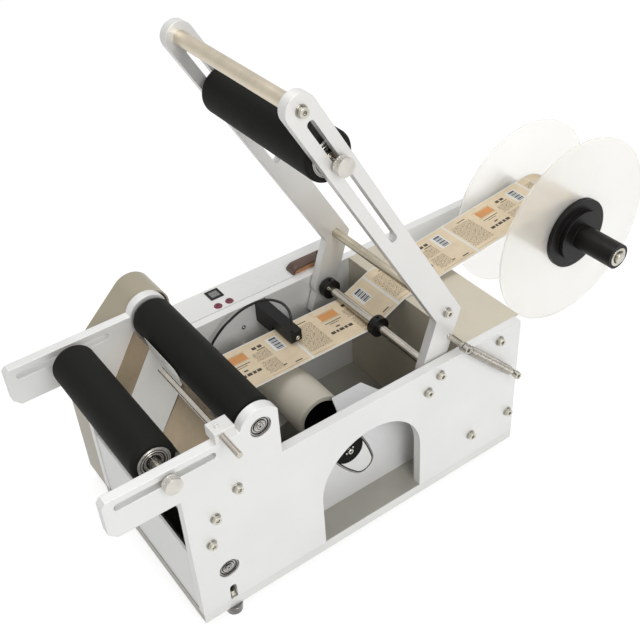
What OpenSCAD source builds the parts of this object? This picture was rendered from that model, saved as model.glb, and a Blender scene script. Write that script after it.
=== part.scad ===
// Bench-top round bottle labeling machine, in millimetres with +Z up.
// +X runs from the bottle rollers to the label reel, +Y from the open side plate to the drive cover.

/* [Frame] */
// Length of the near side plate
plate_len = 480; // [460:1:520]
// Thickness of both side plates
plate_t = 12; // [10:0.5:14]
// Height of the side plates' top edge above the base underside
plate_top = 202; // [198:1:206]
// Clear width between the side plates
plate_gap = 233; // [226:1:245]
// Thickness of the base plate
base_t = 14; // [10:0.5:18]
// Reach of the roller arms past the front edge
arm_reach = 80; // [76:1:100]
// Height of the roller arms' underside
arm_under = 209; // [205:1:214]
// Height of the roller arms' top
arm_top = 261; // [258:1:264]
// Chamfer under the nose of each roller arm
nose_cut = 9; // [4:1:14]
// Chamfer over the nose of each roller arm
nose_top_cut = 5; // [2:1:8]
// Length of the arch opening in the near plate
arch_w = 148; // [120:1:156]
// Middle of the arch from the plate's front edge
arch_x = 246; // [240:1:250]
// Height where the arch's round top starts
arch_spring = 86.5; // [70:0.5:94]
// Height of the front panel
front_panel_h = 113; // [100:1:118]
// Thickness of the front and rear panels
panel_t = 3; // [2:0.5:4]
// Radius of the fixed cross bars
bar_r = 3.75; // [3:0.25:4.5]
// Radius of the bars that the web runs round
guide_r = 5; // [4:0.25:5.5]
// Radius of a cap screw head
screw_r = 5; // [4:0.25:6]
// Height of a cap screw head
screw_h = 6; // [4:0.5:7]

/* [Rollers] */
// Radius of the front bottle roller
front_r = 26; // [22:0.5:27]
// Radius of the drive roller
drive_r = 25.7; // [22:0.1:26.2]
// Radius of the press roller on the swing arms
press_r = 27.5; // [22:0.5:30]
// Rounding of the rubber rollers' end edges
roller_edge = 5; // [2:0.5:7]
// Gap between a bottle roller's end and the plate beside it
roller_end_gap = 18; // [16:0.5:24]
// Drive roller axis from the plate's front edge
drive_x = 102.4; // [98:0.2:106]
// Drive roller axis height
drive_z = 253.7; // [250:0.1:256]
// Front roller axis, in front of the plate's front edge
front_back = 7.5; // [0:0.5:20]
// Height of the slot that the front roller's axle slides in
slot_z = 248.5; // [246:0.25:250]
// Front end of the slot, in front of the plate's front edge
slot_front = 68; // [62:1:70]
// Rear end of the slot, behind the plate's front edge
slot_rear = 47.7; // [42:0.1:54]
// Radius of the roller axles
axle_r = 4; // [3:0.25:4.5]
// Gap round an axle in its slot
slot_clear = 0.4; // [0.3:0.05:0.6]
// Radius of the thumb knobs
knob_r = 10; // [8:0.5:11]
// Height of a thumb knob's head
knob_h = 9; // [6:0.5:11]
// Height of a thumb knob's collar
knob_collar_h = 3; // [2:0.5:4]
// Thickness of a thumb knob's closed face
knob_face = 2.5; // [1.5:0.5:4]
// Outer radius of the ball bearings
bearing_r = 13; // [11:0.5:15]
// Width of the ball bearings
bearing_w = 8; // [6:0.5:9]
// Radius of the turning shafts
shaft_r = 5; // [4:0.25:6]
// Running gap between a shaft and its bore
run_gap = 0.05; // [0.02:0.01:0.08]
// Pull roller axis from the plate's front edge
pull_x = 40.5; // [38:0.5:44]
// Pull roller axis height
pull_z = 69; // [66:0.5:72]
// Radius of the pull roller
pull_r = 20; // [16:0.5:21]
// Radius of the pinch roller
pinch_r = 12; // [9:0.5:12.5]
// Radius of the stop rod over the front arm
stop_rod_r = 3.5; // [2.5:0.25:4.5]
// Stop rod axis from the plate's front edge
stop_rod_x = 57.5; // [50:0.5:60]
// Length of the stop rod outside the near plate
stop_rod_out = 34; // [30:1:60]
// Length of the stop rod inside the plate's outer face
stop_rod_in = 130; // [90:1:180]
// Length of the stop rod's clamp block
stop_block_l = 24; // [20:0.5:26]
// Width of the stop rod's clamp block
stop_block_w = 20; // [16:0.5:22]
// Height of the stop rod's clamp block
stop_block_h = 14; // [13:0.5:18]

/* [Press arms] */
// Pivot axis in front of the plate's rear edge
pivot_back = 130.7; // [128:0.1:134]
// Pivot axis height
pivot_z = 186.7; // [184:0.1:188]
// Radius of the pivot rod
pivot_r = 6; // [5:0.25:7]
// Arm's elbow behind the pivot
elbow_back = 23.7; // [18:0.1:28]
// Arm's elbow above the pivot
elbow_up = 69.8; // [62:0.1:80]
// Lean of the upper leg forwards from upright, in degrees
arm_lean = 29.75; // [26:0.05:34]
// Distance from the elbow to the handle bar
arm_len = 371; // [350:1:400]
// Half of the arms' width
arm_half = 17; // [15:0.5:18]
// Thickness of the swing arms
arm_t = 12; // [8:0.5:13]
// Length of the far arm's tail below the pivot
tail_len = 40; // [30:1:44]
// Half of the tail's width
tail_half = 13; // [10:0.5:15]
// Gap between a swing arm and the side plate beside it
arm_side_gap = 2; // [1:0.25:3]
// Distance from the elbow to the slot's lower end
press_slot_low = 159.5; // [150:0.5:175]
// Distance from the elbow to the slot's upper end
press_slot_high = 356; // [344:0.5:358]
// Distance from the elbow to the press roller
press_at = 294.5; // [250:0.5:310]
// Radius of the handle bar
handle_r = 8.2; // [5:0.1:9]
// Radius of the lower tie bar between the arms
arm_tie_r = 6; // [4.5:0.25:7]
// Distance from the elbow to the lower tie bar
arm_tie_at = 7; // [4:0.5:12]
// Outer radius of the web collars on the pivot rod
collar_r = 13.5; // [10:0.5:14.5]
// Width of the web collars
collar_w = 10; // [6:0.5:10]
// Gap between the near collar and the web's edge
collar_gap = 1; // [0.5:0.25:2]
// Gap between the far collar and the web's edge
far_collar_gap = 14; // [1:0.5:15]

/* [Spring] */
// Spring stud behind the pivot
stud_back = 24.9; // [22:0.1:27]
// Spring stud above the pivot
stud_up = 37.6; // [34:0.1:41]
// Anchor screw in front of the plate's rear edge
anchor_back = 16; // [12:0.5:22]
// Anchor screw height
anchor_z = 133; // [128:0.5:138]
// Gap between the near plate's face and the spring's axis
spring_out = 12; // [11:0.5:14]
// Radius of the coil to the middle of its wire
coil_r = 4.2; // [3.6:0.1:4.6]
// Radius of the spring wire
wire_r = 0.8; // [0.6:0.05:0.85]
// Turns in the coil
coil_turns = 40; // [30:1:42]
// Length of the coil
coil_len = 92; // [90:1:96]

/* [Label web] */
// Width of the label web
web_w = 78; // [60:1:84]
// Near edge of the web from the near plate's outer face
web_near = 125; // [118:1:130]
// Thickness of the web
web_t = 0.4; // [0.3:0.05:0.6]
// Gap between the web and what it runs round
web_gap = 0.4; // [0.3:0.05:0.6]
// Peel edge from the plate's front edge
peel_x = 78; // [74:0.5:79]
// Peel edge height
peel_z = 239; // [234:0.5:240]
// Lower edge of the peel plate from the plate's front edge
peel_low_x = 43; // [40:0.5:46]
// Lower edge height of the peel plate
peel_low_z = 184; // [178:1:190]
// Thickness of the peel plate
peel_t = 3; // [2:0.25:4]
// Free length of the label tip past the peel edge
label_tip = 23; // [10:1:26]
// Front edge of the rear deck in front of the plate's rear edge
deck_len = 81.5; // [74:0.5:88]
// Length that the deck overhangs the plate's rear edge
deck_over = 7; // [4:0.5:12]
// Thickness of the deck sheet
deck_t = 2; // [1.5:0.25:3]

/* [Reel] */
// Reel axis from the plate's front edge
reel_x = 688; // [680:1:700]
// Reel axis height
reel_z = 190; // [184:1:196]
// Radius of the near reel disc
near_disc_r = 139; // [130:1:145]
// Radius of the far reel disc
far_disc_r = 127; // [115:1:139]
// Thickness of the reel discs
disc_t = 3; // [2:0.25:4]
// Near face of the near disc from the near plate's outer face
near_disc_y = 106; // [102:1:109]
// Near face of the far disc from the near plate's outer face
far_disc_y = 207; // [205:1:212]
// Radius of the label roll
roll_r = 47; // [43:0.5:90]
// Radius of the spool hub inside the roll
spool_r = 37.5; // [30:0.5:38]
// Radius of the near hub's flange
hub_flange_r = 52; // [42:1:60]
// Radius of the near hub's step
hub_step_r = 38; // [28:1:40]
// Radius of the near hub's grip
hub_grip_r = 18; // [14:0.5:22]
// Radius of the reel shaft
reel_shaft_r = 8; // [7:0.25:10]
// End of the reel shaft from the near plate's outer face
reel_shaft_end = 22; // [18:1:24]

/* [Drive and cover] */
// Depth of the side cover outside the far plate
cover_d = 49; // [47:1:60]
// Wall thickness of the side cover
cover_t = 2; // [1.5:0.25:3]
// Rear end of the side cover from the plate's front edge
cover_rear = 398.5; // [394:0.5:420]
// Bottom of the side cover above the base underside
cover_low = 9; // [4:1:14]
// Middle of the cover's round top from the plate's front edge
hump_x = 108; // [106:0.5:110]
// Middle height of the cover's round top
hump_z = 250; // [248:0.5:252]
// Radius of the cover's round top
hump_r = 27; // [26:0.5:29]
// Slope of the cover's front top, in degrees
hump_slope = 43; // [38:0.5:46]
// Thickness of the control panel
control_t = 2; // [1.5:0.25:3]
// Side of the counter display
display_s = 19; // [14:0.5:22]
// Radius of the push buttons
button_r = 4.5; // [3.5:0.25:5]
// Travel of the push buttons
button_travel = 1.5; // [1:0.25:2]
// Radius of the take-up drum
drum_r = 30.5; // [26:0.5:31]
// Wall thickness of the take-up drum
drum_t = 6; // [3:0.5:8]
// Take-up drum axis from the plate's front edge
drum_x = 223; // [220:1:226]
// Take-up drum axis height
drum_z = 139; // [137:0.5:140]
// Near end of the take-up drum from the near plate's outer face
drum_near = 71; // [70:1:80]
// Motor axis from the plate's front edge
motor_x = 251; // [248:1:256]
// Motor axis height
motor_z = 79; // [76:0.5:81]
// Radius of the motor's can
motor_r = 23; // [18:0.5:25]
// Radius of the motor's gearbox
gearbox_r = 26; // [22:0.5:27]
// Radius of the hole in the inner wall in front of the motor
wall_hole_r = 29.5; // [27:0.5:33]
// Near face of the inner wall from the near plate's outer face
wall_y = 41; // [39:0.5:43]
// Height of the inner wall
wall_h = 166; // [160:1:168]
// Width of the inner wall's top flange
wall_flange = 26; // [16:1:27]
// Thickness of the inner wall
wall_t = 3; // [2:0.25:4]

/* [Sensor] */
// Width of the label sensor along the web
sensor_w = 16; // [12:0.5:20]
// Near end of the label sensor from the near plate's outer face
sensor_near = 161.5; // [150:0.5:161.5]
// Front face of the label sensor from the plate's front edge
sensor_x = 246; // [244:0.5:247]
// Height of the label sensor's upper jaw
jaw_h = 16; // [12:0.5:18]
// Height of the label sensor's lower jaw
low_jaw_h = 7.5; // [5:0.5:10]
// Radius of the sensor cable
cable_r = 1.75; // [1.25:0.05:1.95]

/* [Feet] */
// Height of the feet under the base
foot_h = 12; // [10:0.5:14]
// Radius of the feet
foot_r = 11; // [8:0.5:12]
// Front feet from the plate's front edge
front_foot_x = 41; // [36:1:48]
// Rear feet in front of the plate's rear edge
rear_foot_back = 40; // [30:1:60]
// Height of the open window over each front foot
foot_window = 24; // [18:1:26]

/* [Hidden] */
$fn = 48;
eps = 0.01;

// Colours
alu = [0.88, 0.88, 0.87];
steel = [0.78, 0.76, 0.73];
black = [0.07, 0.07, 0.08];
rubber = [0.05, 0.05, 0.055];
white = [0.93, 0.93, 0.92];
beige = [0.80, 0.77, 0.69];
milky = [0.93, 0.93, 0.89];
paper = [0.90, 0.86, 0.76];
red = [0.60, 0.08, 0.08];
brown = [0.36, 0.22, 0.12];

// Faces across the machine
near_in = plate_t;
far_in = plate_t + plate_gap;
far_out = far_in + plate_t;
cover_out = far_out + cover_d;

// The part's origin is under the middle of its box
box_front = -arm_reach;
box_rear = reel_x + near_disc_r;
box_near = -stop_rod_out;
shift = [-(box_front + box_rear) / 2, -(box_near + cover_out) / 2, foot_h];

// Places on the side plates, as distance from the front edge and height
pivot_x = plate_len - pivot_back;
deck_x = plate_len - deck_len;
rear_foot_x = plate_len - rear_foot_back;
bar_gap = 0.25;
turn_bar = [65.2, 186.6];
liner_bar = [34.3, 159.7];
lower_bar = [24.7, 123.6];
stop_pin = [pivot_x - 18.7, pivot_z - 16.9];
deck_bar = [plate_len - 34.8, 188.6];
rear_bar = [plate_len - 10.8, 54.8];
mid_bar = [deck_x + deck_t + bar_gap + bar_r, 51.9];
guide_bars = [turn_bar, liner_bar, lower_bar];
tie_bars = [deck_bar, rear_bar, mid_bar];
pivot = [pivot_x, pivot_z];
drive = [drive_x, drive_z];
pull = [pull_x, pull_z];
drum = [drum_x, drum_z];
motor = [motor_x, motor_z];
reel = [reel_x, reel_z];
anchor = [plate_len - anchor_back, anchor_z];
stud = pivot + [stud_back, stud_up];
slot_half = axle_r + slot_clear;

// Ear round the drive roller's bearing
ear_r = bearing_r * 2;
ear_rear = drive_x + 22.3;

// Swing arms
elbow = pivot + [elbow_back, elbow_up];
lower_dir = [elbow_back, elbow_up] / norm([elbow_back, elbow_up]);
upper_dir = [-sin(arm_lean), cos(arm_lean)];
near_arm_y = near_in + arm_side_gap;
far_arm_y = far_in - arm_side_gap - arm_t;
arm_inner = near_arm_y + arm_t;
handle = elbow + arm_len * upper_dir;
press = elbow + press_at * upper_dir;
arm_tie_p = elbow + arm_tie_at * upper_dir;

// Front roller and its knobs
front = [-front_back, slot_z];
seat_gap = 0.3;
front_near = near_in + roller_end_gap;
front_far = far_in - roller_end_gap;
press_near = arm_inner + 2;
press_far = far_arm_y - 6;
drive_near = near_in + 4;
drive_far = far_in - 4;
knob_collar_r = knob_r * 0.65;

// Pinch roller beside the pull roller, below and behind it
pinch_turn = -70;
pinch_gap = web_gap * 2 + web_t;
pinch = pull + (pull_r + pinch_r + pinch_gap) * [cos(pinch_turn), sin(pinch_turn)];
pinch_axle_r = 4;
pinch_seat = 6;
pinch_pocket = pinch_seat + 1;

// Belt layers inside the side cover
belt_w = 8;
belt_t = 2;
belt_gap = 4;
takeup_layer = far_out + 5;
pull_layer = takeup_layer + belt_w + belt_gap;
drive_layer = pull_layer + belt_w + belt_gap;
motor_pulley_r = 12;
takeup_pulley_r = 20;
drive_pulley_r = 15;
pull_pulley_r = 12;
pulley_gap = 0.3;
drum_shaft_r = 6;
motor_shaft_r = 5;

// Bores of the running fits
function bore(r) = r + run_gap;
press_gap = 0.02;

// Outline helpers: what is drawn flat as length and height stands between y0 and y0 + t
module slab(y0, t) {
    translate([0, y0 + t, 0]) rotate([90, 0, 0]) linear_extrude(t) children();
}

// A round bar along Y
module bar(p, y0, y1, r) {
    translate([p.x, y0, p.y]) rotate([-90, 0, 0]) cylinder(r = r, h = y1 - y0);
}

// A round sleeve along Y
module sleeve(p, y0, y1, r, hole) {
    difference() {
        bar(p, y0, y1, r);
        bar(p, y0 - 1, y1 + 1, hole);
    }
}

// A turned piece along Y, from pairs of radius and distance
module turned(p, y0) {
    translate([p.x, y0, p.y]) rotate([-90, 0, 0]) rotate_extrude() children();
}

module dot(p, r) {
    translate(p) circle(r);
}

// A cap screw head with its six-sided socket; its seat is at y and it stands out towards side
module cap_screw(p, y, side) {
    socket_r = screw_r * 0.55;
    socket_d = screw_h * 0.5;
    low = side < 0 ? y - screw_h : y;
    mouth = side < 0 ? low - 1 : low + screw_h - socket_d;
    difference() {
        bar(p, low, low + screw_h, screw_r);
        translate([p.x, mouth, p.y]) rotate([-90, 0, 0]) cylinder(r = socket_r, h = socket_d + 1, $fn = 6);
    }
}

// Section of a rubber roller with rounded end edges and a recess at each end for its bearing
module roller_section(r, length, edge, core, seat_r, seat_d) {
    turns = [0 : 22.5 : 90];
    start = [for (a = turns) [r - edge + edge * sin(a), edge - edge * cos(a)]];
    finish = [for (a = turns) [r - edge + edge * cos(a), length - edge + edge * sin(a)]];
    inner = [[seat_r, length], [seat_r, length - seat_d], [core, length - seat_d],
             [core, seat_d], [seat_r, seat_d], [seat_r, 0]];
    polygon(concat(start, finish, inner));
}

// Section of a ball bearing: two rings and a shield set back between them
module bearing_section(r, w, hole) {
    ring = (r - hole) * 0.27;
    set_back = w * 0.1;
    polygon([[hole, 0], [hole + ring, 0], [hole + ring, set_back], [r - ring, set_back], [r - ring, 0], [r, 0],
             [r, w], [r - ring, w], [r - ring, w - set_back], [hole + ring, w - set_back],
             [hole + ring, w], [hole, w]]);
}

// Side plates
module arm_slot_outline() {
    translate([-slot_front + slot_half, slot_z - slot_half])
        square([slot_front + slot_rear - 2 * slot_half, 2 * slot_half]);
    dot([-slot_front + slot_half, slot_z], slot_half);
    dot([slot_rear - slot_half, slot_z], slot_half);
}

// The solid of a side plate between y0 and y0 + t, before its holes
module plate_solid(y0, t) {
    slab(y0, t) polygon([[0, base_t], [0, arm_under], [nose_cut - arm_reach, arm_under],
                         [-arm_reach, arm_under + nose_cut], [-arm_reach, arm_top - nose_top_cut],
                         [nose_top_cut - arm_reach, arm_top], [ear_rear, arm_top], [ear_rear, plate_top],
                         [plate_len, plate_top], [plate_len, base_t]]);
    intersection() {
        bar(drive, y0, y0 + t, ear_r);
        translate([drive_x - ear_r, y0, arm_top - 1]) cube([ear_rear - drive_x + ear_r, t, ear_r]);
    }
}

module plate_holes() {
    arm_slot_outline();
    dot(drive, bearing_r + press_gap);
    dot(pull, bearing_r + press_gap);
    dot(pivot, pivot_r + press_gap);
}

module arch_outline() {
    half = arch_w / 2;
    translate([arch_x - half, base_t - 1]) square([arch_w, arch_spring - base_t + 1]);
    dot([arch_x, arch_spring], half);
}

module foot_window_outline() {
    window_w = 9;
    rise = foot_window - window_w / 2;
    translate([front_foot_x - window_w / 2, base_t - 1]) square([window_w, rise + 1]);
    dot([front_foot_x, base_t + rise], window_w / 2);
}

module base_plate() {
    color(alu) difference() {
        cube([plate_len, far_out, base_t]);
        for (p = foot_places) translate([p.x, p.y, -1]) cylinder(r = foot_stud_r + press_gap, h = base_t + 2);
    }
}

module near_plate() {
    color(alu) difference() {
        plate_solid(0, plate_t);
        slab(-1, plate_t + 2) plate_holes();
        slab(-1, plate_t + 2) arch_outline();
        slab(-1, plate_t + 2) foot_window_outline();
        bar(pinch, near_in - pinch_pocket, near_in + 1, bore(pinch_axle_r));
    }
}

module far_plate() {
    reel_boss_r = 26;
    carrier_low = 110;
    color(alu) difference() {
        union() {
            plate_solid(far_in, plate_t);
            slab(far_in, plate_t) polygon([[plate_len - 1, plate_top], [reel_x, plate_top],
                                           [reel_x, reel_z - reel_boss_r], [plate_len - 1, carrier_low]]);
            bar(reel, far_in, far_out, reel_boss_r);
        }
        slab(far_in - 1, plate_t + 2) plate_holes();
        slab(far_in - 1, plate_t + 2) foot_window_outline();
        bar(pinch, far_in - 1, far_in + pinch_pocket, bore(pinch_axle_r));
        bar(drum, far_in - 1, far_out + 1, bore(drum_shaft_r));
        bar(motor, far_in - 1, far_out + 1, bore(motor_shaft_r));
        bar(reel, far_in - 1, far_out + 1, reel_shaft_r + press_gap);
    }
}

module end_panels() {
    color(alu) translate([1, near_in, base_t]) cube([panel_t, plate_gap, front_panel_h - base_t]);
    color(alu) translate([plate_len - panel_t - 2, near_in, base_t])
        cube([panel_t, plate_gap, plate_top - deck_t - base_t]);
}

// Inner wall with the motor's hole, and a raised lug that is bent over at its top
module inner_wall() {
    wall_front = 150;
    wall_rear = 360;
    wall_low_h = 150;
    lug_front = 228;
    lug_rear = 291;
    lug_taper = 9.5;
    color(white) difference() {
        union() {
            slab(wall_y, wall_t)
                polygon([[wall_front, base_t], [wall_front, wall_low_h], [lug_front, wall_low_h],
                         [lug_front, wall_h], [lug_rear, wall_h], [lug_rear, wall_low_h],
                         [wall_rear, wall_low_h], [wall_rear, base_t]]);
            translate([0, wall_y, wall_h - wall_t]) linear_extrude(wall_t)
                polygon([[lug_front, 0], [lug_rear, 0], [lug_rear - lug_taper, wall_flange],
                         [lug_front + lug_taper, wall_flange]]);
        }
        bar(motor, wall_y - 1, wall_y + wall_t + 1, wall_hole_r);
    }
}

module peel_plate() {
    run = [peel_x - peel_low_x, peel_z - peel_low_z];
    side = [run.y, -run.x] / norm(run) * peel_t;
    tip = 0.5;
    taper = 0.4;
    color(steel) slab(near_in, plate_gap)
        polygon([[peel_low_x, peel_low_z], [peel_x, peel_z], [peel_x, peel_z] + side * tip / peel_t,
                 [peel_x, peel_z] - run * taper + side, [peel_low_x, peel_low_z] + side]);
}

stop_pin_l = 18;

module cross_bars() {
    color(steel) for (p = guide_bars) bar(p, near_in, far_in, guide_r);
    color(steel) for (p = tie_bars) bar(p, near_in, far_in, bar_r);
    color(steel) bar(stop_pin, near_in, near_in + stop_pin_l, bar_r);
}

module rear_deck() {
    color(beige) translate([deck_x, near_in, plate_top - deck_t])
        cube([plate_len + deck_over - deck_x, plate_gap, deck_t]);
    color(beige) translate([deck_x, near_in, base_t])
        cube([deck_t, plate_gap, plate_top - deck_t - base_t + eps]);
}

// Fasteners of the frame, with the foot studs and the spring's anchor screw
foot_stud_r = 4;
foot_places = [[front_foot_x, plate_t / 2], [front_foot_x, far_out - plate_t / 2],
               [rear_foot_x, 36], [rear_foot_x, far_out - 36]];

module plate_screws() {
    color(steel) for (p = concat(guide_bars, tie_bars, [stop_pin, pivot])) cap_screw(p, 0, -1);
    color(steel) for (p = tie_bars) cap_screw(p, far_out, 1);
    color(steel) for (p = foot_places) translate([p.x, p.y, 0]) {
        cylinder(r = foot_stud_r, h = base_t + 10);
        translate([0, 0, base_t]) cylinder(r = foot_stud_r + 0.7, h = 5, $fn = 6);
    }
    color(steel) anchor_screw();
}

anchor_r = 2.5;
anchor_groove = 3.5;

module anchor_screw() {
    bar(anchor, anchor_groove / 2 - spring_out - eps, 0, screw_r - 1);
    bar(anchor, -spring_out - anchor_groove / 2, anchor_groove / 2 - spring_out, anchor_r);
    cap_screw(anchor, eps - spring_out - anchor_groove / 2, -1);
}

module shaft_bearings() {
    set_in = (plate_t - bearing_w) / 2;
    color(steel) for (p = [drive, pull], y = [set_in, far_in + set_in])
        turned(p, y) bearing_section(bearing_r, bearing_w, bore(shaft_r));
}

module pivot_rod() {
    color(steel) bar(pivot, 0, far_out, pivot_r);
}

module collar(y) {
    set_screw_r = 2;
    color(black) difference() {
        sleeve(pivot, y, y + collar_w, collar_r, bore(pivot_r));
        translate([pivot_x, y + collar_w / 2, pivot_z + collar_r - 3]) cylinder(r = set_screw_r, h = 5);
    }
}

module near_collar() {
    collar(web_near - collar_gap - collar_w);
}

module far_collar() {
    collar(web_near + web_w + far_collar_gap);
}

// Stop rod and its clamp block on the near arm
stop_rod_p = [stop_rod_x, arm_top + stop_block_h * 0.55];

module stop_block() {
    front_share = 0.35;
    grub_r = 3;
    color(steel) difference() {
        translate([stop_rod_x - stop_block_l * front_share, 0, arm_top])
            cube([stop_block_l, stop_block_w, stop_block_h]);
        bar(stop_rod_p, -1, stop_block_w + 1, bore(stop_rod_r));
    }
    color(steel) translate([stop_rod_x, stop_block_w / 2, arm_top + stop_block_h]) difference() {
        cylinder(r = grub_r, h = 2);
        translate([0, 0, 1]) cylinder(r = grub_r * 0.55, h = 2, $fn = 6);
    }
}

module stop_rod() {
    color(steel) bar(stop_rod_p, -stop_rod_out, stop_rod_in, stop_rod_r);
}

// Bottle rollers
module roller_bearings(p, y0, y1) {
    set_in = 0.5;
    color(steel) for (y = [y0 + set_in, y1 - set_in - bearing_w])
        turned(p, y) bearing_section(bearing_r, bearing_w, bore(axle_r));
}

module soft_roller(p, y0, y1, r) {
    color(rubber) turned(p, y0)
        roller_section(r, y1 - y0, roller_edge, axle_r + 2, bearing_r + press_gap, bearing_w + 0.5);
}

// A thumb knob on the near end of an axle: a collar towards the plate and a ribbed head
module knob(p, seat) {
    ribs = 24;
    rib_r = 0.7;
    head_y = seat - knob_stack;
    color(steel) difference() {
        union() {
            bar(p, seat - knob_collar_h, seat, knob_collar_r);
            bar(p, head_y, head_y + knob_h, knob_r);
        }
        bar(p, head_y + knob_face, seat + 1, bore(axle_r));
        for (k = [1 : ribs]) bar(p + knob_r * [cos(k * 360 / ribs), sin(k * 360 / ribs)],
                                 head_y + 1.5, head_y + knob_h - 1.5, rib_r);
    }
}

knob_stack = knob_collar_h + knob_h;

// Where an axle ends inside the thumb knob that stands on a seat
function knob_bottom(seat) = seat - knob_stack + knob_face + seat_gap;

nut_h = 5;
nut_r = 7;
end_show = 1;

// A low hexagon nut on the far end of a roller's axle
module lock_nut(p, seat) {
    color(steel) difference() {
        translate([p.x, seat, p.y]) rotate([-90, 0, 0]) cylinder(r = nut_r, h = nut_h, $fn = 6);
        bar(p, seat - 1, seat + nut_h + 1, bore(axle_r));
    }
}

module front_axle() {
    color(steel) bar(front, knob_bottom(-seat_gap), far_out + seat_gap + nut_h + end_show, axle_r);
    color(steel) sleeve(front, near_in + seat_gap, front_near + 0.2, axle_r + 2.5, axle_r - eps);
    color(steel) sleeve(front, front_far - 0.2, far_in - seat_gap, axle_r + 2.5, axle_r - eps);
}

module front_roller() {
    soft_roller(front, front_near, front_far, front_r);
}

module front_bearings() {
    roller_bearings(front, front_near, front_far);
}

module front_near_knob() {
    knob(front, -seat_gap);
}

module front_far_knob() {
    lock_nut(front, far_out + seat_gap);
}

module drive_roller() {
    core = shaft_r + press_gap;
    color(rubber) turned(drive, drive_near)
        roller_section(drive_r, drive_far - drive_near, roller_edge, core, core + 4, 2);
}

// Pulley with two flanges, turned as one piece with its shaft
module pulley(p, y, r) {
    flange = 1.5;
    bar(p, y - flange, y + belt_w + flange, r - pulley_gap);
    for (f = [y - flange, y + belt_w]) bar(p, f, f + flange, r + belt_t + 1);
}

module drive_shaft() {
    color(steel) union() {
        bar(drive, 1, drive_layer + belt_w + 3, shaft_r);
        pulley(drive, drive_layer, drive_pulley_r);
    }
}

module pull_roller() {
    color(rubber) union() {
        bar(pull, near_in + 4, far_in - 4, pull_r);
        bar(pull, 1, drive_layer + belt_w + 3, shaft_r);
        pulley(pull, pull_layer, pull_pulley_r);
        pulley(pull, drive_layer, pull_pulley_r);
    }
}

module pinch_roller() {
    color(rubber) union() {
        bar(pinch, near_in + 4, far_in - 4, pinch_r);
        bar(pinch, near_in - pinch_seat, far_in + pinch_seat, pinch_axle_r);
    }
}

// Swing arms
function left_of(d) = [-d.y, d.x];
mitre = (left_of(lower_dir) + left_of(upper_dir))
        / (1 + left_of(lower_dir) * left_of(upper_dir)) * arm_half;

module swing_arm(y, tail = 0) {
    a = left_of(lower_dir) * arm_half;
    w = left_of(lower_dir) * tail_half;
    tail_end = pivot - lower_dir * tail;
    b = left_of(upper_dir) * arm_half;
    slot_low = elbow + (press_slot_low + slot_half) * upper_dir;
    slot_top = elbow + (press_slot_high - slot_half) * upper_dir;
    c = left_of(upper_dir) * slot_half;
    color(alu) difference() {
        union() {
            slab(y, arm_t)
                polygon([pivot + a, elbow + mitre, handle + b, handle - b, elbow - mitre, pivot - a]);
            bar(pivot, y, y + arm_t, arm_half);
            bar(handle, y, y + arm_t, arm_half);
            if (tail > 0)
                slab(y, arm_t) polygon([pivot + w, pivot - w, tail_end - w, tail_end + w]);
        }
        bar(pivot, y - 1, y + arm_t + 1, bore(pivot_r));
        slab(y - 1, arm_t + 2) polygon([slot_low + c, slot_top + c, slot_top - c, slot_low - c]);
        bar(slot_low, y - 1, y + arm_t + 1, slot_half);
        bar(slot_top, y - 1, y + arm_t + 1, slot_half);
    }
}

module near_arm() {
    swing_arm(near_arm_y);
}

module far_arm() {
    swing_arm(far_arm_y, tail_len);
}

module handle_bar() {
    color(steel) bar(handle, arm_inner, far_arm_y, handle_r);
}

module arm_tie() {
    color(steel) bar(arm_tie_p, arm_inner, far_arm_y, arm_tie_r);
}

module arm_screws() {
    color(steel) for (p = [handle, arm_tie_p]) {
        cap_screw(p, near_arm_y, -1);
        cap_screw(p, far_arm_y + arm_t, 1);
    }
}

module press_axle() {
    near_end = knob_bottom(near_arm_y - seat_gap);
    far_end = far_arm_y + arm_t + seat_gap + nut_h + end_show;
    color(steel) bar(press, near_end, far_end, axle_r);
    color(steel) sleeve(press, arm_inner + seat_gap, press_near + 0.2, axle_r + 2.5, axle_r - eps);
    color(steel) sleeve(press, press_far - 0.2, far_arm_y - seat_gap, axle_r + 2.5, axle_r - eps);
}

module press_roller() {
    soft_roller(press, press_near, press_far, press_r);
}

module press_bearings() {
    roller_bearings(press, press_near, press_far);
}

module press_near_knob() {
    knob(press, near_arm_y - seat_gap);
}

module press_far_knob() {
    lock_nut(press, far_arm_y + arm_t + seat_gap);
}

// Arm return spring: a stud on the near arm, a coil and the eye that goes over the stud
spring_run = anchor - stud;
spring_len = norm(spring_run);
spring_turn = atan2(spring_run.y, spring_run.x);
stud_r = 2.4;
eye_play = 2.1;
eye_hole_r = stud_r + eye_play;
eye_r = eye_hole_r + 1.8;
eye_t = 2.4;
stem = 9;
coil_start = eye_r + stem;
coil_end = coil_start + coil_len;

module along_spring() {
    translate([stud.x, -spring_out, stud.y]) rotate([0, -spring_turn, 0]) children();
}

module spring_stud() {
    color(steel) bar(stud, -spring_out - eye_t, near_arm_y, stud_r);
    color(steel) cap_screw(stud, eps - spring_out - eye_t, -1);
}

// A tube of flat sides swept along points, with its ends square to the first and last steps
function unit(v) = v / norm(v);
function heading(p, i) = unit(p[min(i + 1, len(p) - 1)] - p[max(i - 1, 0)]);
function ring_of(p, d, r, sides) =
    let (u = unit(cross(d, abs(d.y) < 0.9 ? [0, 1, 0] : [1, 0, 0])), v = cross(d, u))
    [for (k = [0 : sides - 1]) p + r * (cos(k * 360 / sides) * u + sin(k * 360 / sides) * v)];

function tube_points(p, r, sides) =
    concat([for (i = [0 : len(p) - 1]) each ring_of(p[i], heading(p, i), r, sides)], [p[0], p[len(p) - 1]]);

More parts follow.
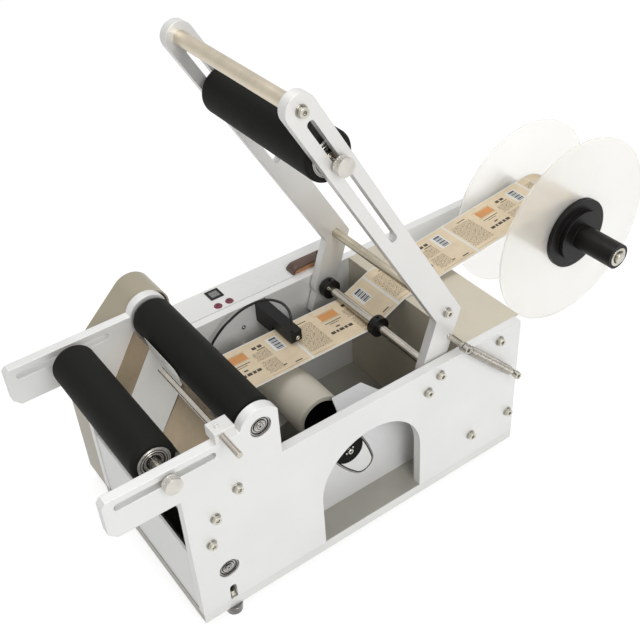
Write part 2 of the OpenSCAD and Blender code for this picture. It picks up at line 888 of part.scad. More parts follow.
function tube_faces(rings, sides) = concat(
    [for (i = [0 : rings - 2], k = [0 : sides - 1]) let (a = i * sides + k, b = i * sides + (k + 1) % sides)
        each [[a, a + sides, b], [b, a + sides, b + sides]]],
    [for (k = [0 : sides - 1]) [rings * sides, k, (k + 1) % sides]],
    [for (k = [0 : sides - 1]) let (last = (rings - 1) * sides)
        [rings * sides + 1, last + (k + 1) % sides, last + k]]);

module tube(p, r, sides) {
    polyhedron(points = tube_points(p, r, sides), faces = tube_faces(len(p), sides));
}

// The coil's middle line along +X, with a straight wire out at each end
coil_steps = 8;
coil_line = concat(
    [[coil_start - 4 * wire_r, 0, coil_r], [coil_start - 2 * wire_r, 0, coil_r]],
    [for (i = [0 : coil_turns * coil_steps])
        let (turn = i * 360 / coil_steps)
        [coil_start + coil_len * i / (coil_turns * coil_steps), coil_r * sin(turn), coil_r * cos(turn)]],
    [[coil_end + 2 * wire_r, 0, coil_r], [coil_end + 4 * wire_r, 0, coil_r]]);
coil_gap = min([for (i = [0 : len(coil_line) - 1], j = [i + 5 : 1 : min(i + 12, len(coil_line) - 1)])
                norm(coil_line[j] - coil_line[i])]) - 2 * wire_r;
echo(spring_least_gap = coil_gap);

module spring_coil() {
    color(steel) along_spring() {
        tube(coil_line, wire_r, 6);
        translate([coil_end + 4 * wire_r - eps, 0, 0]) end_plug(1);
    }
}

// End fitting of the spring: a disc across the coil and a flat tongue with an eye
module end_plug(side) {
    plug_t = 2;
    reach = side > 0 ? spring_len - coil_end - 4 * wire_r : coil_start - 4 * wire_r;
    hole_r = side > 0 ? anchor_r + run_gap : eye_hole_r;
    rim_r = side > 0 ? anchor_r + 2 : eye_r;
    rotate([0, 0, side > 0 ? 0 : 180]) difference() {
        union() {
            rotate([0, 90, 0]) cylinder(r = coil_r + wire_r, h = plug_t);
            translate([0, -eye_t / 2, -2]) cube([reach, eye_t, 4]);
            translate([reach, eye_t / 2, 0]) rotate([90, 0, 0]) cylinder(r = rim_r, h = eye_t);
        }
        translate([reach, eye_t, 0]) rotate([90, 0, 0]) cylinder(r = hole_r, h = eye_t * 2);
    }
}

module spring_end() {
    color(steel) along_spring() translate([coil_start - 4 * wire_r - 0.3, 0, 0]) end_plug(-1);
}

// Drive inside the frame and the side cover
module takeup_drum() {
    spider_y = 60;
    spider_t = 8;
    drum_far = web_near + web_w + 2;
    color(beige) turned(drum, drum_near)
        polygon([[drum_r - drum_t, 0], [drum_r, 0], [drum_r, drum_far - drum_near],
                 [drum_r - drum_t, drum_far - drum_near], [drum_r - drum_t, spider_y + spider_t],
                 [drum_shaft_r - eps, spider_y + spider_t], [drum_shaft_r - eps, spider_y],
                 [drum_r - drum_t, spider_y]]);
    color(steel) bar(drum, drum_near + 50, takeup_layer + belt_w + 3, drum_shaft_r);
    color(steel) pulley(drum, takeup_layer, takeup_pulley_r);
}

module gear_motor() {
    cap_y = wall_y + 9;
    cap_t = 8;
    can_far = 165;
    color(steel) difference() {
        union() {
            bar(motor, cap_y, cap_y + cap_t, motor_r);
            bar(motor, cap_y + cap_t - eps, can_far, motor_r - 1);
            bar(motor, can_far - eps, far_in, gearbox_r);
        }
        bar(motor, far_in - 30, far_in + 1, bore(motor_shaft_r));
        for (a = [0 : 60 : 300]) translate([motor.x, cap_y - 1, motor.y]) rotate([0, a, 0])
            translate([motor_r * 0.45, 0, -1.5]) cube([motor_r * 0.35, 4, 3]);
    }
}

module motor_shaft() {
    color(steel) union() {
        bar(motor, far_in - 29, pull_layer + belt_w + 3, motor_shaft_r);
        pulley(motor, takeup_layer, motor_pulley_r);
        pulley(motor, pull_layer, motor_pulley_r);
    }
}

module belt_outline(a, ra, b, rb) {
    hull() {
        dot(a, ra);
        dot(b, rb);
    }
}

module belt(y, a, ra, b, rb) {
    slack = 0.2;
    slab(y + slack, belt_w - 2 * slack) difference() {
        belt_outline(a, ra + belt_t, b, rb + belt_t);
        belt_outline(a, ra, b, rb);
    }
}

module drive_belts() {
    color(black) belt(takeup_layer, motor, motor_pulley_r, drum, takeup_pulley_r);
    color(black) belt(pull_layer, motor, motor_pulley_r, pull, pull_pulley_r);
    color(black) belt(drive_layer, pull, pull_pulley_r, drive, drive_pulley_r);
}

// Label sensor: two jaws with the web between them, carried by the far plate
web_z = turn_bar.y - guide_r - web_gap - web_t / 2;
jaw_gap = 3;
throat = web_near + web_w + 4;

module sensor_fork() {
    upper = web_z + jaw_gap;
    lower = web_z - jaw_gap - low_jaw_h;
    color(black) difference() {
        translate([sensor_x, sensor_near, lower])
            cube([sensor_w, far_in - sensor_near, upper + jaw_h - lower]);
        translate([sensor_x - 1, sensor_near - 1, web_z - jaw_gap])
            cube([sensor_w + 2, throat - sensor_near + 1, 2 * jaw_gap]);
    }
}

sensor_top = web_z + jaw_gap + jaw_h;
cable_route = [[249.5, 164.5, sensor_top], [249.5, 164.5, sensor_top + 7], [250.5, 165, 214], [252, 168, 222],
               [253, 175, 228], [252, 185.5, 231], [248.5, 196.5, 230.5], [243, 206.5, 228.5],
               [236, 215, 224.5], [227.5, 221, 220], [218, 225.5, 215], [209, 228.5, 209],
               [199.5, 230.5, 202.5], [190.5, 232, 196], [182, 233, 188], [175, 233.5, 180.5],
               [169.5, 234, 172], [167, 234.6, 166], [165.8, 236, 161], [165.1, 239, 157.2],
               [165, 242.5, 156], [165, far_in, 156]];

module sensor_cable() {
    color(black) tube(cable_route, cable_r, 8);
}

// Side cover over the belts, with the control panel on top
module cover_solid(inset, y0, y1) {
    r = hump_r - inset;
    front_x = inset;
    touch = [hump_x - r * sin(hump_slope), hump_z + r * cos(hump_slope)];
    front_z = touch.y - (touch.x - front_x) * tan(hump_slope);
    slab(y0, y1 - y0) polygon([[front_x, cover_low + inset], [front_x, front_z], touch, [hump_x, hump_z],
                               [hump_x + r, hump_z], [hump_x + r, cover_top - inset],
                               [cover_rear - inset, cover_top - inset],
                               [cover_rear - inset, cover_low + inset]]);
    bar([hump_x, hump_z], y0, y1, r);
}

cover_top = plate_top - control_t;

module side_cover() {
    color(white) difference() {
        cover_solid(0, far_out, cover_out);
        cover_solid(cover_t, far_out - 1, cover_out - cover_t);
        for (b = buttons) translate([b.x, b.y, cover_top - cover_t - 1])
            cylinder(r = button_r + seat_gap, h = cover_t + 2);
        translate([inlet_p.x - 10, inlet_p.y - inlet_w / 2 + 3, inlet_p.z + 3])
            cube([20, inlet_w - 6, inlet_h - 6]);
    }
}

start_p = [204, far_out + 9];
reset_p = [221, far_out + 9];
display_p = [212.5, far_out + 33.5];
buttons = [start_p, reset_p];
panel_gap = 1;

module control_panel() {
    panel_front = hump_x + hump_r + 1;
    color(white) difference() {
        translate([panel_front, far_out + panel_gap, cover_top])
            cube([cover_rear - panel_front, cover_d - panel_gap, control_t]);
        for (b = buttons) translate([b.x, b.y, cover_top - 1])
            cylinder(r = button_r + seat_gap, h = control_t + 2);
    }
}

module counter_display() {
    display_t = 1.6;
    window = 2.5;
    inside = display_s - 2 * window;
    color(black) translate([display_p.x - display_s / 2, display_p.y - display_s / 2, plate_top]) difference() {
        cube([display_s, display_s, display_t]);
        translate([window, window, display_t - 0.6]) cube([inside, inside, 1]);
    }
}

// A push button: a cap over the panel and a stem with a stop below it
module push_button(b) {
    cap_h = 1.7;
    stop_h = 2;
    stem = control_t + cover_t + button_travel;
    color(red) translate([b.x, b.y, plate_top + cap_h]) rotate([180, 0, 0]) {
        cylinder(r = button_r, h = cap_h + stem);
        translate([0, 0, cap_h + stem - stop_h - button_travel + seat_gap + 2])
            cylinder(r = button_r + 2, h = stop_h);
    }
}

module start_button() {
    push_button(start_p);
}

module reset_button() {
    push_button(reset_p);
}

// Arm switch beside the far arm: a block with a sloped front, and a sprung plunger near its rear end
switch_l = 58;
switch_w = 16.5;
switch_h = 9.5;
switch_p = [317, far_out + 2, plate_top];
plunger_w = 6;
plunger_p = [switch_l - 12, (switch_w - plunger_w) / 2];

module switch_body() {
    well = 5;
    slope_l = 8;
    slope_h = 5;
    color(brown) translate(switch_p) difference() {
        slab(0, switch_w) polygon([[0, 0], [switch_l, 0], [switch_l, switch_h], [slope_l, switch_h],
                                   [0, switch_h - slope_h]]);
        translate([plunger_p.x - seat_gap, plunger_p.y - seat_gap, switch_h - well])
            cube([plunger_w + 2 * seat_gap, plunger_w + 2 * seat_gap, well + 1]);
    }
}

module switch_plunger() {
    plunger_h = 4.5;
    show = 2.5;
    color(black) translate(switch_p + [plunger_p.x, plunger_p.y, switch_h + show - plunger_h])
        cube([plunger_w, plunger_w, plunger_h]);
}

// Power inlet and rocker on the rear end of the side cover
inlet_w = 30;
inlet_h = 50;
inlet_t = 3;
inlet_p = [cover_rear, far_out + cover_d / 2, 60];
rocker_w = 16;
rocker_h = 12;
rocker_z = inlet_p.z + 36;

module power_inlet() {
    socket_w = 20;
    socket_h = 14;
    depth = 18;
    pin_pitch = 6;
    pin_w = 2;
    pin_l = 13;
    pin_h = 5;
    pin_z = inlet_p.z + 11.5;
    color(black) difference() {
        union() {
            translate([inlet_p.x, inlet_p.y - inlet_w / 2, inlet_p.z]) cube([inlet_t, inlet_w, inlet_h]);
            translate([inlet_p.x - depth, inlet_p.y - inlet_w / 2 + 4, inlet_p.z + 4])
                cube([depth + eps, inlet_w - 8, inlet_h - 8]);
        }
        translate([inlet_p.x - depth + 2, inlet_p.y - socket_w / 2, inlet_p.z + 7])
            cube([depth + inlet_t, socket_w, socket_h]);
        translate([inlet_p.x - 8, inlet_p.y - rocker_w / 2 - 0.6, rocker_z - rocker_h / 2 - 0.6])
            cube([12, rocker_w + 1.2, rocker_h + 1.2]);
    }
    color(steel) for (k = [-1 : 1])
        translate([inlet_p.x - depth + 2 - eps, inlet_p.y + k * pin_pitch - pin_w / 2, pin_z])
            cube([pin_l, pin_w, pin_h]);
}

module power_rocker() {
    tilt = 8;
    color(black) translate([inlet_p.x, inlet_p.y, rocker_z]) rotate([0, tilt, 0])
        translate([-4, -rocker_w / 2, -rocker_h / 2 + 1]) cube([8, rocker_w, rocker_h - 2]);
}

// Reel at the rear
spool_back_r = 30;

module reel_shaft() {
    end_nut_h = 8;
    end_nut_r = 14;
    sleeve_y = far_disc_y + disc_t + 6;
    color(steel) union() {
        bar(reel, reel_shaft_end, far_out + end_nut_h + 4, reel_shaft_r);
        bar(reel, sleeve_y, far_in, reel_shaft_r + 5);
        translate([reel.x, far_out, reel.y]) rotate([-90, 0, 0])
            cylinder(r = end_nut_r, h = end_nut_h, $fn = 6);
    }
}

module spool_hub() {
    color(black) difference() {
        union() {
            bar(reel, near_disc_y + disc_t + 0.5, far_disc_y, spool_r);
            bar(reel, far_disc_y - eps, far_disc_y + disc_t + 5.5, spool_back_r);
        }
        bar(reel, near_disc_y, far_disc_y + disc_t + 6, bore(reel_shaft_r));
    }
}

module label_roll() {
    color(paper) sleeve(reel, web_near, web_near + web_w, roll_r, spool_r + press_gap);
}

module far_disc() {
    color(milky) sleeve(reel, far_disc_y, far_disc_y + disc_t, far_disc_r, spool_back_r + press_gap);
}

module near_disc() {
    color(milky) sleeve(reel, near_disc_y, near_disc_y + disc_t, near_disc_r, hub_grip_r + press_gap);
}

module near_hub() {
    flange_t = 7;
    step_t = 9;
    grip_y = reel_shaft_end + 4;
    step_y = near_disc_y - flange_t - step_t;
    color(black) difference() {
        union() {
            bar(reel, grip_y, near_disc_y + disc_t, hub_grip_r);
            bar(reel, step_y, step_y + step_t + eps, hub_step_r);
            bar(reel, near_disc_y - flange_t, near_disc_y, hub_flange_r);
        }
        bar(reel, grip_y - 1, near_disc_y + disc_t + 1, bore(reel_shaft_r));
    }
}

// Label web: a strip that runs from the roll past each bar to the take-up drum.
// Each stop is a middle, a radius and the side of the strip's way on which the middle lies.
strip_out = web_gap + web_t / 2;
deck_edge = [deck_x + 1, plate_top - 1];
peel_edge = [peel_x, peel_z];
web_stops = [[reel, roll_r + strip_out, 1], [deck_edge, 1 + strip_out, 1], [pivot, pivot_r + strip_out, -1],
             [turn_bar, guide_r + strip_out, -1], [peel_edge, 0.6 + strip_out, 1],
             [liner_bar, guide_r + strip_out, 1], [lower_bar, guide_r + strip_out, 1],
             [pull, pull_r + strip_out, 1], [drum, drum_r + strip_out, 1]];
wrap_on_drum = 40;

// Bearing of the normal on the left of the straight run from stop i to the next one
function run_normal(i) =
    let (a = web_stops[i], b = web_stops[i + 1], d = b[0] - a[0])
    atan2(d.y, d.x) + acos((b[1] * b[2] - a[1] * a[2]) / norm(d));
function stop_normals(i) =
    let (last = len(web_stops) - 1,
         first_turn = i == 0 ? run_normal(0) : run_normal(i - 1),
         raw = i == last ? first_turn + wrap_on_drum : run_normal(i),
         turn = raw - first_turn,
         end_turn = first_turn + (turn > 180 ? turn - 360 : turn < -180 ? turn + 360 : turn),
         steps = max(1, ceil(abs(end_turn - first_turn) / 12)))
    [for (k = [0 : steps]) first_turn + (end_turn - first_turn) * k / steps];
function strip_edge(offset) =
    [for (i = [0 : len(web_stops) - 1], a = stop_normals(i))
        let (s = web_stops[i], n = [cos(a), sin(a)])
        s[0] + n * (offset - s[1] * s[2])];

// The strip is drawn in lengths with a hairline between them: one for each straight run and each long bend
strip_counts = [for (i = [0 : len(web_stops) - 1]) len(stop_normals(i))];
function first_of(i) = i == 0 ? 0 : first_of(i - 1) + strip_counts[i - 1];
function last_of(i) = first_of(i) + strip_counts[i] - 1;
long_bend = 3;
bend_share = 6;
strip_cuts = concat([last_of(0)], [for (i = [1 : len(web_stops) - 1])
    each strip_counts[i] > long_bend && web_stops[i][1] > guide_r
        ? concat([for (k = [first_of(i) : bend_share : last_of(i) - 1]) k], [last_of(i)])
        : [last_of(i)]]);

strip_hairline = 0.05;
function strip_length(edge, a, b) =
    concat([edge[a] + unit(edge[a + 1] - edge[a]) * strip_hairline], [for (i = [a + 1 : b]) edge[i]]);
function reversed(list) = [for (i = [len(list) - 1 : -1 : 0]) list[i]];

module label_web() {
    under = strip_edge(web_t / 2);
    over = strip_edge(-web_t / 2);
    color(paper) for (k = [0 : len(strip_cuts) - 2]) slab(web_near, web_w)
        polygon(concat(strip_length(under, strip_cuts[k], strip_cuts[k + 1]),
                       reversed(strip_length(over, strip_cuts[k], strip_cuts[k + 1]))));
    tip_start = peel_edge + [-1.4, 1.3];
    tip_lean = [-5, label_tip];
    thick = [web_t, 0];
    color(paper) slab(web_near, web_w)
        polygon([tip_start, tip_start + thick, tip_start + tip_lean + thick, tip_start + tip_lean]);
}

// Feet under the base
module feet() {
    recess = 1;
    color(rubber) for (p = foot_places) translate([p.x, p.y, -foot_h]) difference() {
        cylinder(r1 = foot_r - 1, r2 = foot_r, h = foot_h);
        translate([0, 0, foot_h - recess]) cylinder(r = foot_r * 0.5, h = recess + 1);
    }
}

translate(shift) {
    base_plate();
    near_plate();
    far_plate();
    end_panels();
    inner_wall();
    peel_plate();
    cross_bars();
    rear_deck();
    plate_screws();
    shaft_bearings();
    pivot_rod();
    near_collar();
    far_collar();
    stop_block();
    stop_rod();
    front_axle();
    front_roller();
    front_bearings();
    front_near_knob();
    front_far_knob();
    drive_roller();
    drive_shaft();
    pull_roller();
    pinch_roller();
    near_arm();
    far_arm();
    handle_bar();
    arm_tie();
    arm_screws();
    press_axle();
    press_roller();
    press_bearings();
    press_near_knob();
    press_far_knob();
    spring_stud();
    spring_coil();
    spring_end();
    takeup_drum();
    gear_motor();
    motor_shaft();
    drive_belts();
    sensor_fork();
    sensor_cable();
    side_cover();
    control_panel();
    counter_display();
    start_button();
    reset_button();
    switch_body();
    switch_plunger();
    power_inlet();
    power_rocker();
    reel_shaft();
    spool_hub();
    label_roll();
    far_disc();
    near_disc();
    near_hub();
    label_web();
    feet();
}
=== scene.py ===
import math

import bmesh
import bpy
from mathutils import Matrix, Vector


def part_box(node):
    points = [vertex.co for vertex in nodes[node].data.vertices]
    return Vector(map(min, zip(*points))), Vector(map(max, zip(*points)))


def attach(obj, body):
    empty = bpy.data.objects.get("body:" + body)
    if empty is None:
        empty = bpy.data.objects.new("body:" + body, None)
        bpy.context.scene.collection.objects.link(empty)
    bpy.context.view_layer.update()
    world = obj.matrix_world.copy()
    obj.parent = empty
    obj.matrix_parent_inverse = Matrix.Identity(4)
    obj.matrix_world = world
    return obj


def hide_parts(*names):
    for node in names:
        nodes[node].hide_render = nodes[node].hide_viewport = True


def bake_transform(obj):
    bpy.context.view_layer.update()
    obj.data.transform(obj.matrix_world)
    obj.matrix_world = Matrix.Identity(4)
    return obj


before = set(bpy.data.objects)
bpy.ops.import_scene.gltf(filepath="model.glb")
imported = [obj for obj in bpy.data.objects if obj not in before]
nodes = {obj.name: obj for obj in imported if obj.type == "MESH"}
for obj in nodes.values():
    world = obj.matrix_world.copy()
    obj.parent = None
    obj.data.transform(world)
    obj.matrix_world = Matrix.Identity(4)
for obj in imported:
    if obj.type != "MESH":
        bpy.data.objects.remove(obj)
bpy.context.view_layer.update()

# Places are measured on the near side plate, in millimetres: length from its front edge,
# distance from its outer face and height over the base's underside.
MM = 0.001
SHIFT = Vector((-373.5, -136.0, 12.0))


def place(x, y, z):
    return (Vector((x, y, z)) + SHIFT) * MM


# Camera, as the photograph was taken
CAMERA_AT = (-0.615981, -0.786892, 0.988067)
CAMERA_RIGHT = Vector((0.8110899, -0.5825426, -0.0527000))
CAMERA_DOWN = Vector((-0.3980408, -0.4836855, -0.7794946))
CAMERA_AHEAD = Vector((0.4285986, 0.6532170, -0.6241882))

eye = bpy.data.cameras.new("camera")
eye.sensor_fit = "HORIZONTAL"
eye.sensor_width = 36
eye.lens = 55.5697
eye.clip_start = 0.05
eye.clip_end = 60
camera = bpy.data.objects.new("camera", eye)
bpy.context.scene.collection.objects.link(camera)
camera.matrix_world = Matrix((CAMERA_RIGHT, -CAMERA_DOWN, -CAMERA_AHEAD)).transposed().to_4x4()
camera.location = CAMERA_AT
bpy.context.scene.camera = camera


# Materials
class Nodes:
    """The node tree of one material, with its Principled shader."""

    def __init__(self, name):
        self.material = bpy.data.materials.new(name)
        self.material.use_nodes = True
        self.tree = self.material.node_tree
        self.tree.nodes.clear()
        self.shader = self.add("ShaderNodeBsdfPrincipled")
        output = self.add("ShaderNodeOutputMaterial")
        self.join(self.shader.outputs["BSDF"], output.inputs["Surface"])
        self.coords = self.add("ShaderNodeTexCoord").outputs["Object"]

    def add(self, kind, **settings):
        node = self.tree.nodes.new(kind)
        for key, value in settings.items():
            setattr(node, key, value)
        return node

    def join(self, source, target):
        self.tree.links.new(source, target)

    def feed(self, socket, value):
        if isinstance(value, bpy.types.NodeSocket):
            self.join(value, socket)
        else:
            socket.default_value = value

    def stretched(self, scale):
        mapping = self.add("ShaderNodeMapping")
        self.join(self.coords, mapping.inputs["Vector"])
        mapping.inputs["Scale"].default_value = scale
        return mapping.outputs["Vector"]

    def noise(self, scale, detail=3.0, rough=0.55, vector=None):
        node = self.add("ShaderNodeTexNoise")
        self.join(vector or self.coords, node.inputs["Vector"])
        node.inputs["Scale"].default_value = scale
        node.inputs["Detail"].default_value = detail
        node.inputs["Roughness"].default_value = rough
        return node.outputs["Fac"]

    def math(self, operation, a, b=0.0):
        node = self.add("ShaderNodeMath", operation=operation)
        self.feed(node.inputs[0], a)
        self.feed(node.inputs[1], b)
        return node.outputs[0]

    def span(self, value, low, high, to_low=0.0, to_high=1.0):
        node = self.add("ShaderNodeMapRange")
        self.feed(node.inputs["Value"], value)
        node.inputs["From Min"].default_value = low
        node.inputs["From Max"].default_value = high
        node.inputs["To Min"].default_value = to_low
        node.inputs["To Max"].default_value = to_high
        return node.outputs["Result"]

    def blend(self, factor, a, b):
        node = self.add("ShaderNodeMix", data_type="RGBA")
        self.feed(node.inputs["Factor"], factor)
        for socket, value in ((node.inputs[6], a), (node.inputs[7], b)):
            self.feed(socket, value if isinstance(value, bpy.types.NodeSocket) else (*value, 1.0))
        return node.outputs[2]

    def axis(self, letter):
        node = self.add("ShaderNodeSeparateXYZ")
        self.join(self.coords, node.inputs[0])
        return node.outputs[letter]

    def edge(self, radius):
        """A rounded normal, and a mask that is 1 along sharp edges."""
        bevel = self.add("ShaderNodeBevel", samples=6)
        bevel.inputs["Radius"].default_value = radius
        geometry = self.add("ShaderNodeNewGeometry")
        dot = self.add("ShaderNodeVectorMath", operation="DOT_PRODUCT")
        self.join(bevel.outputs[0], dot.inputs[0])
        self.join(geometry.outputs["Normal"], dot.inputs[1])
        return bevel.outputs[0], self.span(dot.outputs["Value"], 0.995, 0.86)

    def bump(self, height, strength, distance, normal=None):
        node = self.add("ShaderNodeBump")
        node.inputs["Strength"].default_value = strength
        node.inputs["Distance"].default_value = distance
        self.join(height, node.inputs["Height"])
        if normal is not None:
            self.join(normal, node.inputs["Normal"])
        return node.outputs["Normal"]


def shade(colour, factor):
    return tuple(min(1.0, c * factor) for c in colour)


def look(name, colour, rough, metal=0.0, cloud=(9.0, 0.06), grain=(1800.0, 0.06, 0.0001), wear_and_highlight=0.0,
         edge_radius=0.0008, spread=0.06, stretch=(1.0, 1.0, 1.0), dirt=None, inner=None, **sockets):
    """A surface with cloudy colour, a fine grain in its relief, uneven gloss and paler edges, partly worn and
    partly a painted highlight.
    Past a distance inwards from the near side, inner gives it another colour, used as painted shade."""
    n = Nodes(name)
    wide = n.noise(cloud[0], 4.0)
    tone = n.blend(n.span(wide, 0.3, 0.7), shade(colour, 1 - cloud[1]), shade(colour, 1 + cloud[1]))
    fine = n.noise(grain[0], 2.0, 0.6, n.stretched(stretch))
    if dirt:
        tone = n.blend(n.span(n.noise(dirt[1], 6.0, 0.7), dirt[2], dirt[2] + 0.18, 0.0, dirt[3]), tone,
                       dirt[0])
    # Inwards of the given Y the colour turns darker: painted shade where the machine shades its own base.
    if inner:
        painted_inner_shade = n.blend(n.span(wide, 0.3, 0.7), shade(inner[0], 0.9), shade(inner[0], 1.1))
        tone = n.blend(n.span(n.axis("Y"), inner[1], inner[1] + 0.001), tone, painted_inner_shade)
    normal, edges = n.edge(edge_radius)
    # Sharp edges turn paler, broken up by noise: partly wear, partly a painted highlight along the edges.
    if wear_and_highlight:
        worn_and_highlit_edges = n.math("MULTIPLY", edges, n.span(n.noise(60.0, 4.0), 0.25, 0.6, 0.35, 1.0))
        pale = tuple(c + (1.0 - c) * wear_and_highlight for c in colour)
        tone = n.blend(worn_and_highlit_edges, tone, pale)
    n.join(tone, n.shader.inputs["Base Color"])
    gloss = n.math("ADD", n.span(wide, 0.25, 0.75, rough - spread, rough + spread),
                   n.span(fine, 0.3, 0.7, -spread / 2, spread / 2))
    n.join(gloss, n.shader.inputs["Roughness"])
    n.shader.inputs["Metallic"].default_value = metal
    n.join(n.bump(fine, grain[1], grain[2], normal), n.shader.inputs["Normal"])
    for key, value in sockets.items():
        n.shader.inputs[key.replace("_", " ")].default_value = value
    return n.material


aluminium = look("aluminium", (0.80, 0.80, 0.785), 0.42, 0.25, (7.0, 0.035), (2600.0, 0.10, 0.0001), 0.45,
                 0.0012)
arm_aluminium = look("arm_aluminium", (0.74, 0.735, 0.715), 0.38, 0.35, (9.0, 0.04), (2600.0, 0.10, 0.0001),
                     0.5, 0.0012)
# The base's top inside the machine is darkened through inner: painted shade.
base_aluminium = look("base_aluminium", (0.74, 0.74, 0.72), 0.4, 0.3, (6.0, 0.05), (1500.0, 0.10, 0.0001),
                      0.4, 0.001,
                      stretch=(0.05, 1.0, 1.0), inner=((0.37, 0.36, 0.315), -0.1355))
panel_aluminium = look("panel_aluminium", (0.73, 0.735, 0.715), 0.4, 0.3, (6.0, 0.05), (1500.0, 0.10, 0.0001),
                       0.4, 0.001,
                       stretch=(1.0, 0.05, 1.0))
steel = look("nickel_steel", (0.50, 0.465, 0.41), 0.22, 1.0, (30.0, 0.12), (1400.0, 0.08, 0.00005), 0.3,
             0.0005,
             0.05, (1.0, 12.0, 1.0))
tie_steel = look("tie_steel", (0.50, 0.445, 0.345), 0.3, 0.9, (18.0, 0.12), (1400.0, 0.08, 0.00005), 0.25,
                 0.0006,
                 0.06, (1.0, 8.0, 1.0), dirt=((0.30, 0.24, 0.16), 60.0, 0.55, 0.5))
spring_steel = look("spring_steel", (0.40, 0.375, 0.335), 0.26, 1.0, (40.0, 0.15), (1600.0, 0.08, 0.00005),
                    0.3, 0.0004)
foot_chrome = look("foot_chrome", (0.17, 0.165, 0.16), 0.2, 1.0, (90.0, 0.45), (900.0, 0.1, 0.0001), 0.5,
                   0.0008)
rod_steel = look("rod_steel", (0.62, 0.55, 0.43), 0.3, 0.9, (24.0, 0.12), (1600.0, 0.06, 0.00005), 0.25,
                 0.0006,
                 0.06, (1.0, 10.0, 1.0), dirt=((0.74, 0.66, 0.56), 30.0, 0.5, 0.4))
screw_steel = look("screw_steel", (0.55, 0.525, 0.46), 0.24, 1.0, (70.0, 0.16), (2200.0, 0.05, 0.00005), 0.45,
                   0.0005)
knob_steel = look("knob_steel", (0.60, 0.575, 0.53), 0.34, 0.95, (60.0, 0.12), (1500.0, 0.06, 0.00005), 0.35,
                  0.0005)
# Dark washer steel: besides the washers' own metal it paints the shadow ring under each screw head.
washer_steel_and_shadow = look("washer_steel_and_shadow", (0.34, 0.325, 0.295), 0.3, 1.0, (80.0, 0.18), (1800.0, 0.05, 0.00005),
                    0.4, 0.0004)
bearing_steel = look("bearing_steel", (0.44, 0.425, 0.40), 0.28, 1.0, (60.0, 0.14), (1500.0, 0.05, 0.00005),
                     0.4, 0.0004)
peel_steel = look("peel_steel", (0.345, 0.275, 0.185), 0.36, 0.85, (16.0, 0.16), (900.0, 0.08, 0.0001), 0.35,
                  0.0005,
                  0.08, (1.0, 0.1, 1.0), dirt=((0.20, 0.13, 0.07), 40.0, 0.55, 0.5))
rubber = look("roller_rubber", (0.0078, 0.0080, 0.0064), 0.66, 0.0, (14.0, 0.16), (1300.0, 0.22, 0.00015),
              0.03, 0.0008,
              0.05, dirt=((0.016, 0.016, 0.0135), 70.0, 0.56, 0.4), Specular_IOR_Level=0.13)
black_plastic = look("black_plastic", (0.0068, 0.0064, 0.0058), 0.4, 0.0, (25.0, 0.15),
                     (1500.0, 0.10, 0.0001), 0.08, 0.0006,
                     Specular_IOR_Level=0.2)
groove_black = look("groove_black", (0.012, 0.0115, 0.011), 0.6, 0.0, (60.0, 0.2), (1200.0, 0.1, 0.0001), 0.0,
                    0.0003,
                    Specular_IOR_Level=0.15)
drum_dark = look("drum_dark", (0.010, 0.0095, 0.009), 0.8, 0.0, (20.0, 0.2), (700.0, 0.2, 0.0002), 0.0,
                 0.0004, Specular_IOR_Level=0.1)
white_paint = look("white_paint", (0.78, 0.78, 0.765), 0.38, 0.0, (8.0, 0.03), (700.0, 0.10, 0.0002), 0.35,
                   0.0010)
panel_white = look("panel_white", (0.79, 0.79, 0.775), 0.30, 0.0, (6.0, 0.02), (900.0, 0.06, 0.0001), 0.4,
                   0.0006)
wall_paint = look("wall_paint", (0.70, 0.70, 0.70), 0.36, 0.1, (10.0, 0.04), (900.0, 0.08, 0.0001), 0.4,
                  0.0008)
# The side cover is a dim brownish beige, darker than the deck: painted shade with a painted warm reflection.
cover_painted_shade = look("cover_painted_shade", (0.385, 0.34, 0.25), 0.36, 0.0, (7.0, 0.05), (800.0, 0.10, 0.0002), 0.45,
                   0.0010)
beige_paint = look("beige_paint", (0.60, 0.545, 0.435), 0.40, 0.0, (10.0, 0.05), (900.0, 0.10, 0.0002), 0.4,
                   0.0008)
drum_card = look("drum_card", (0.55, 0.515, 0.43), 0.55, 0.0, (12.0, 0.05), (500.0, 0.15, 0.0002), 0.2,
                 0.0006,
                 stretch=(1.0, 8.0, 1.0))
red_plastic = look("red_plastic", (0.24, 0.026, 0.055), 0.28, 0.0, (120.0, 0.18), (900.0, 0.05, 0.0001), 0.2,
                   0.0006)
dark_brown = look("dark_brown", (0.085, 0.042, 0.026), 0.4, 0.0, (60.0, 0.25), (700.0, 0.15, 0.0002), 0.2,
                  0.0006)
tan_plastic = look("tan_plastic", (0.40, 0.19, 0.075), 0.42, 0.0, (70.0, 0.25), (700.0, 0.12, 0.0002), 0.3,
                   0.0006)
button_core = look("button_core", (0.075, 0.008, 0.018), 0.3, 0.0, (120.0, 0.2), (900.0, 0.05, 0.0001), 0.1,
                   0.0004)
milky_plastic = look("milky_plastic", (0.965, 0.955, 0.92), 0.45, 0.0, (6.0, 0.015), (600.0, 0.05, 0.0001),
                     0.0, 0.0004,
                     Transmission_Weight=0.64, IOR=1.15, Alpha=0.74)
milky_thin = look("milky_thin", (0.965, 0.955, 0.92), 0.45, 0.0, (6.0, 0.015), (600.0, 0.05, 0.0001), 0.0,
                  0.0004,
                     Transmission_Weight=0.75, IOR=1.15, Alpha=0.6)
liner_paper = look("liner_paper", (0.71, 0.70, 0.655), 0.42, 0.0, (20.0, 0.03), (1500.0, 0.06, 0.00005), 0.0,
                   0.0002)
label_paper = look("label_paper", (0.69, 0.57, 0.40), 0.46, 0.0, (26.0, 0.08), (2200.0, 0.08, 0.00005), 0.0,
                   0.0002,
                   dirt=((0.57, 0.455, 0.295), 90.0, 0.5, 0.4))
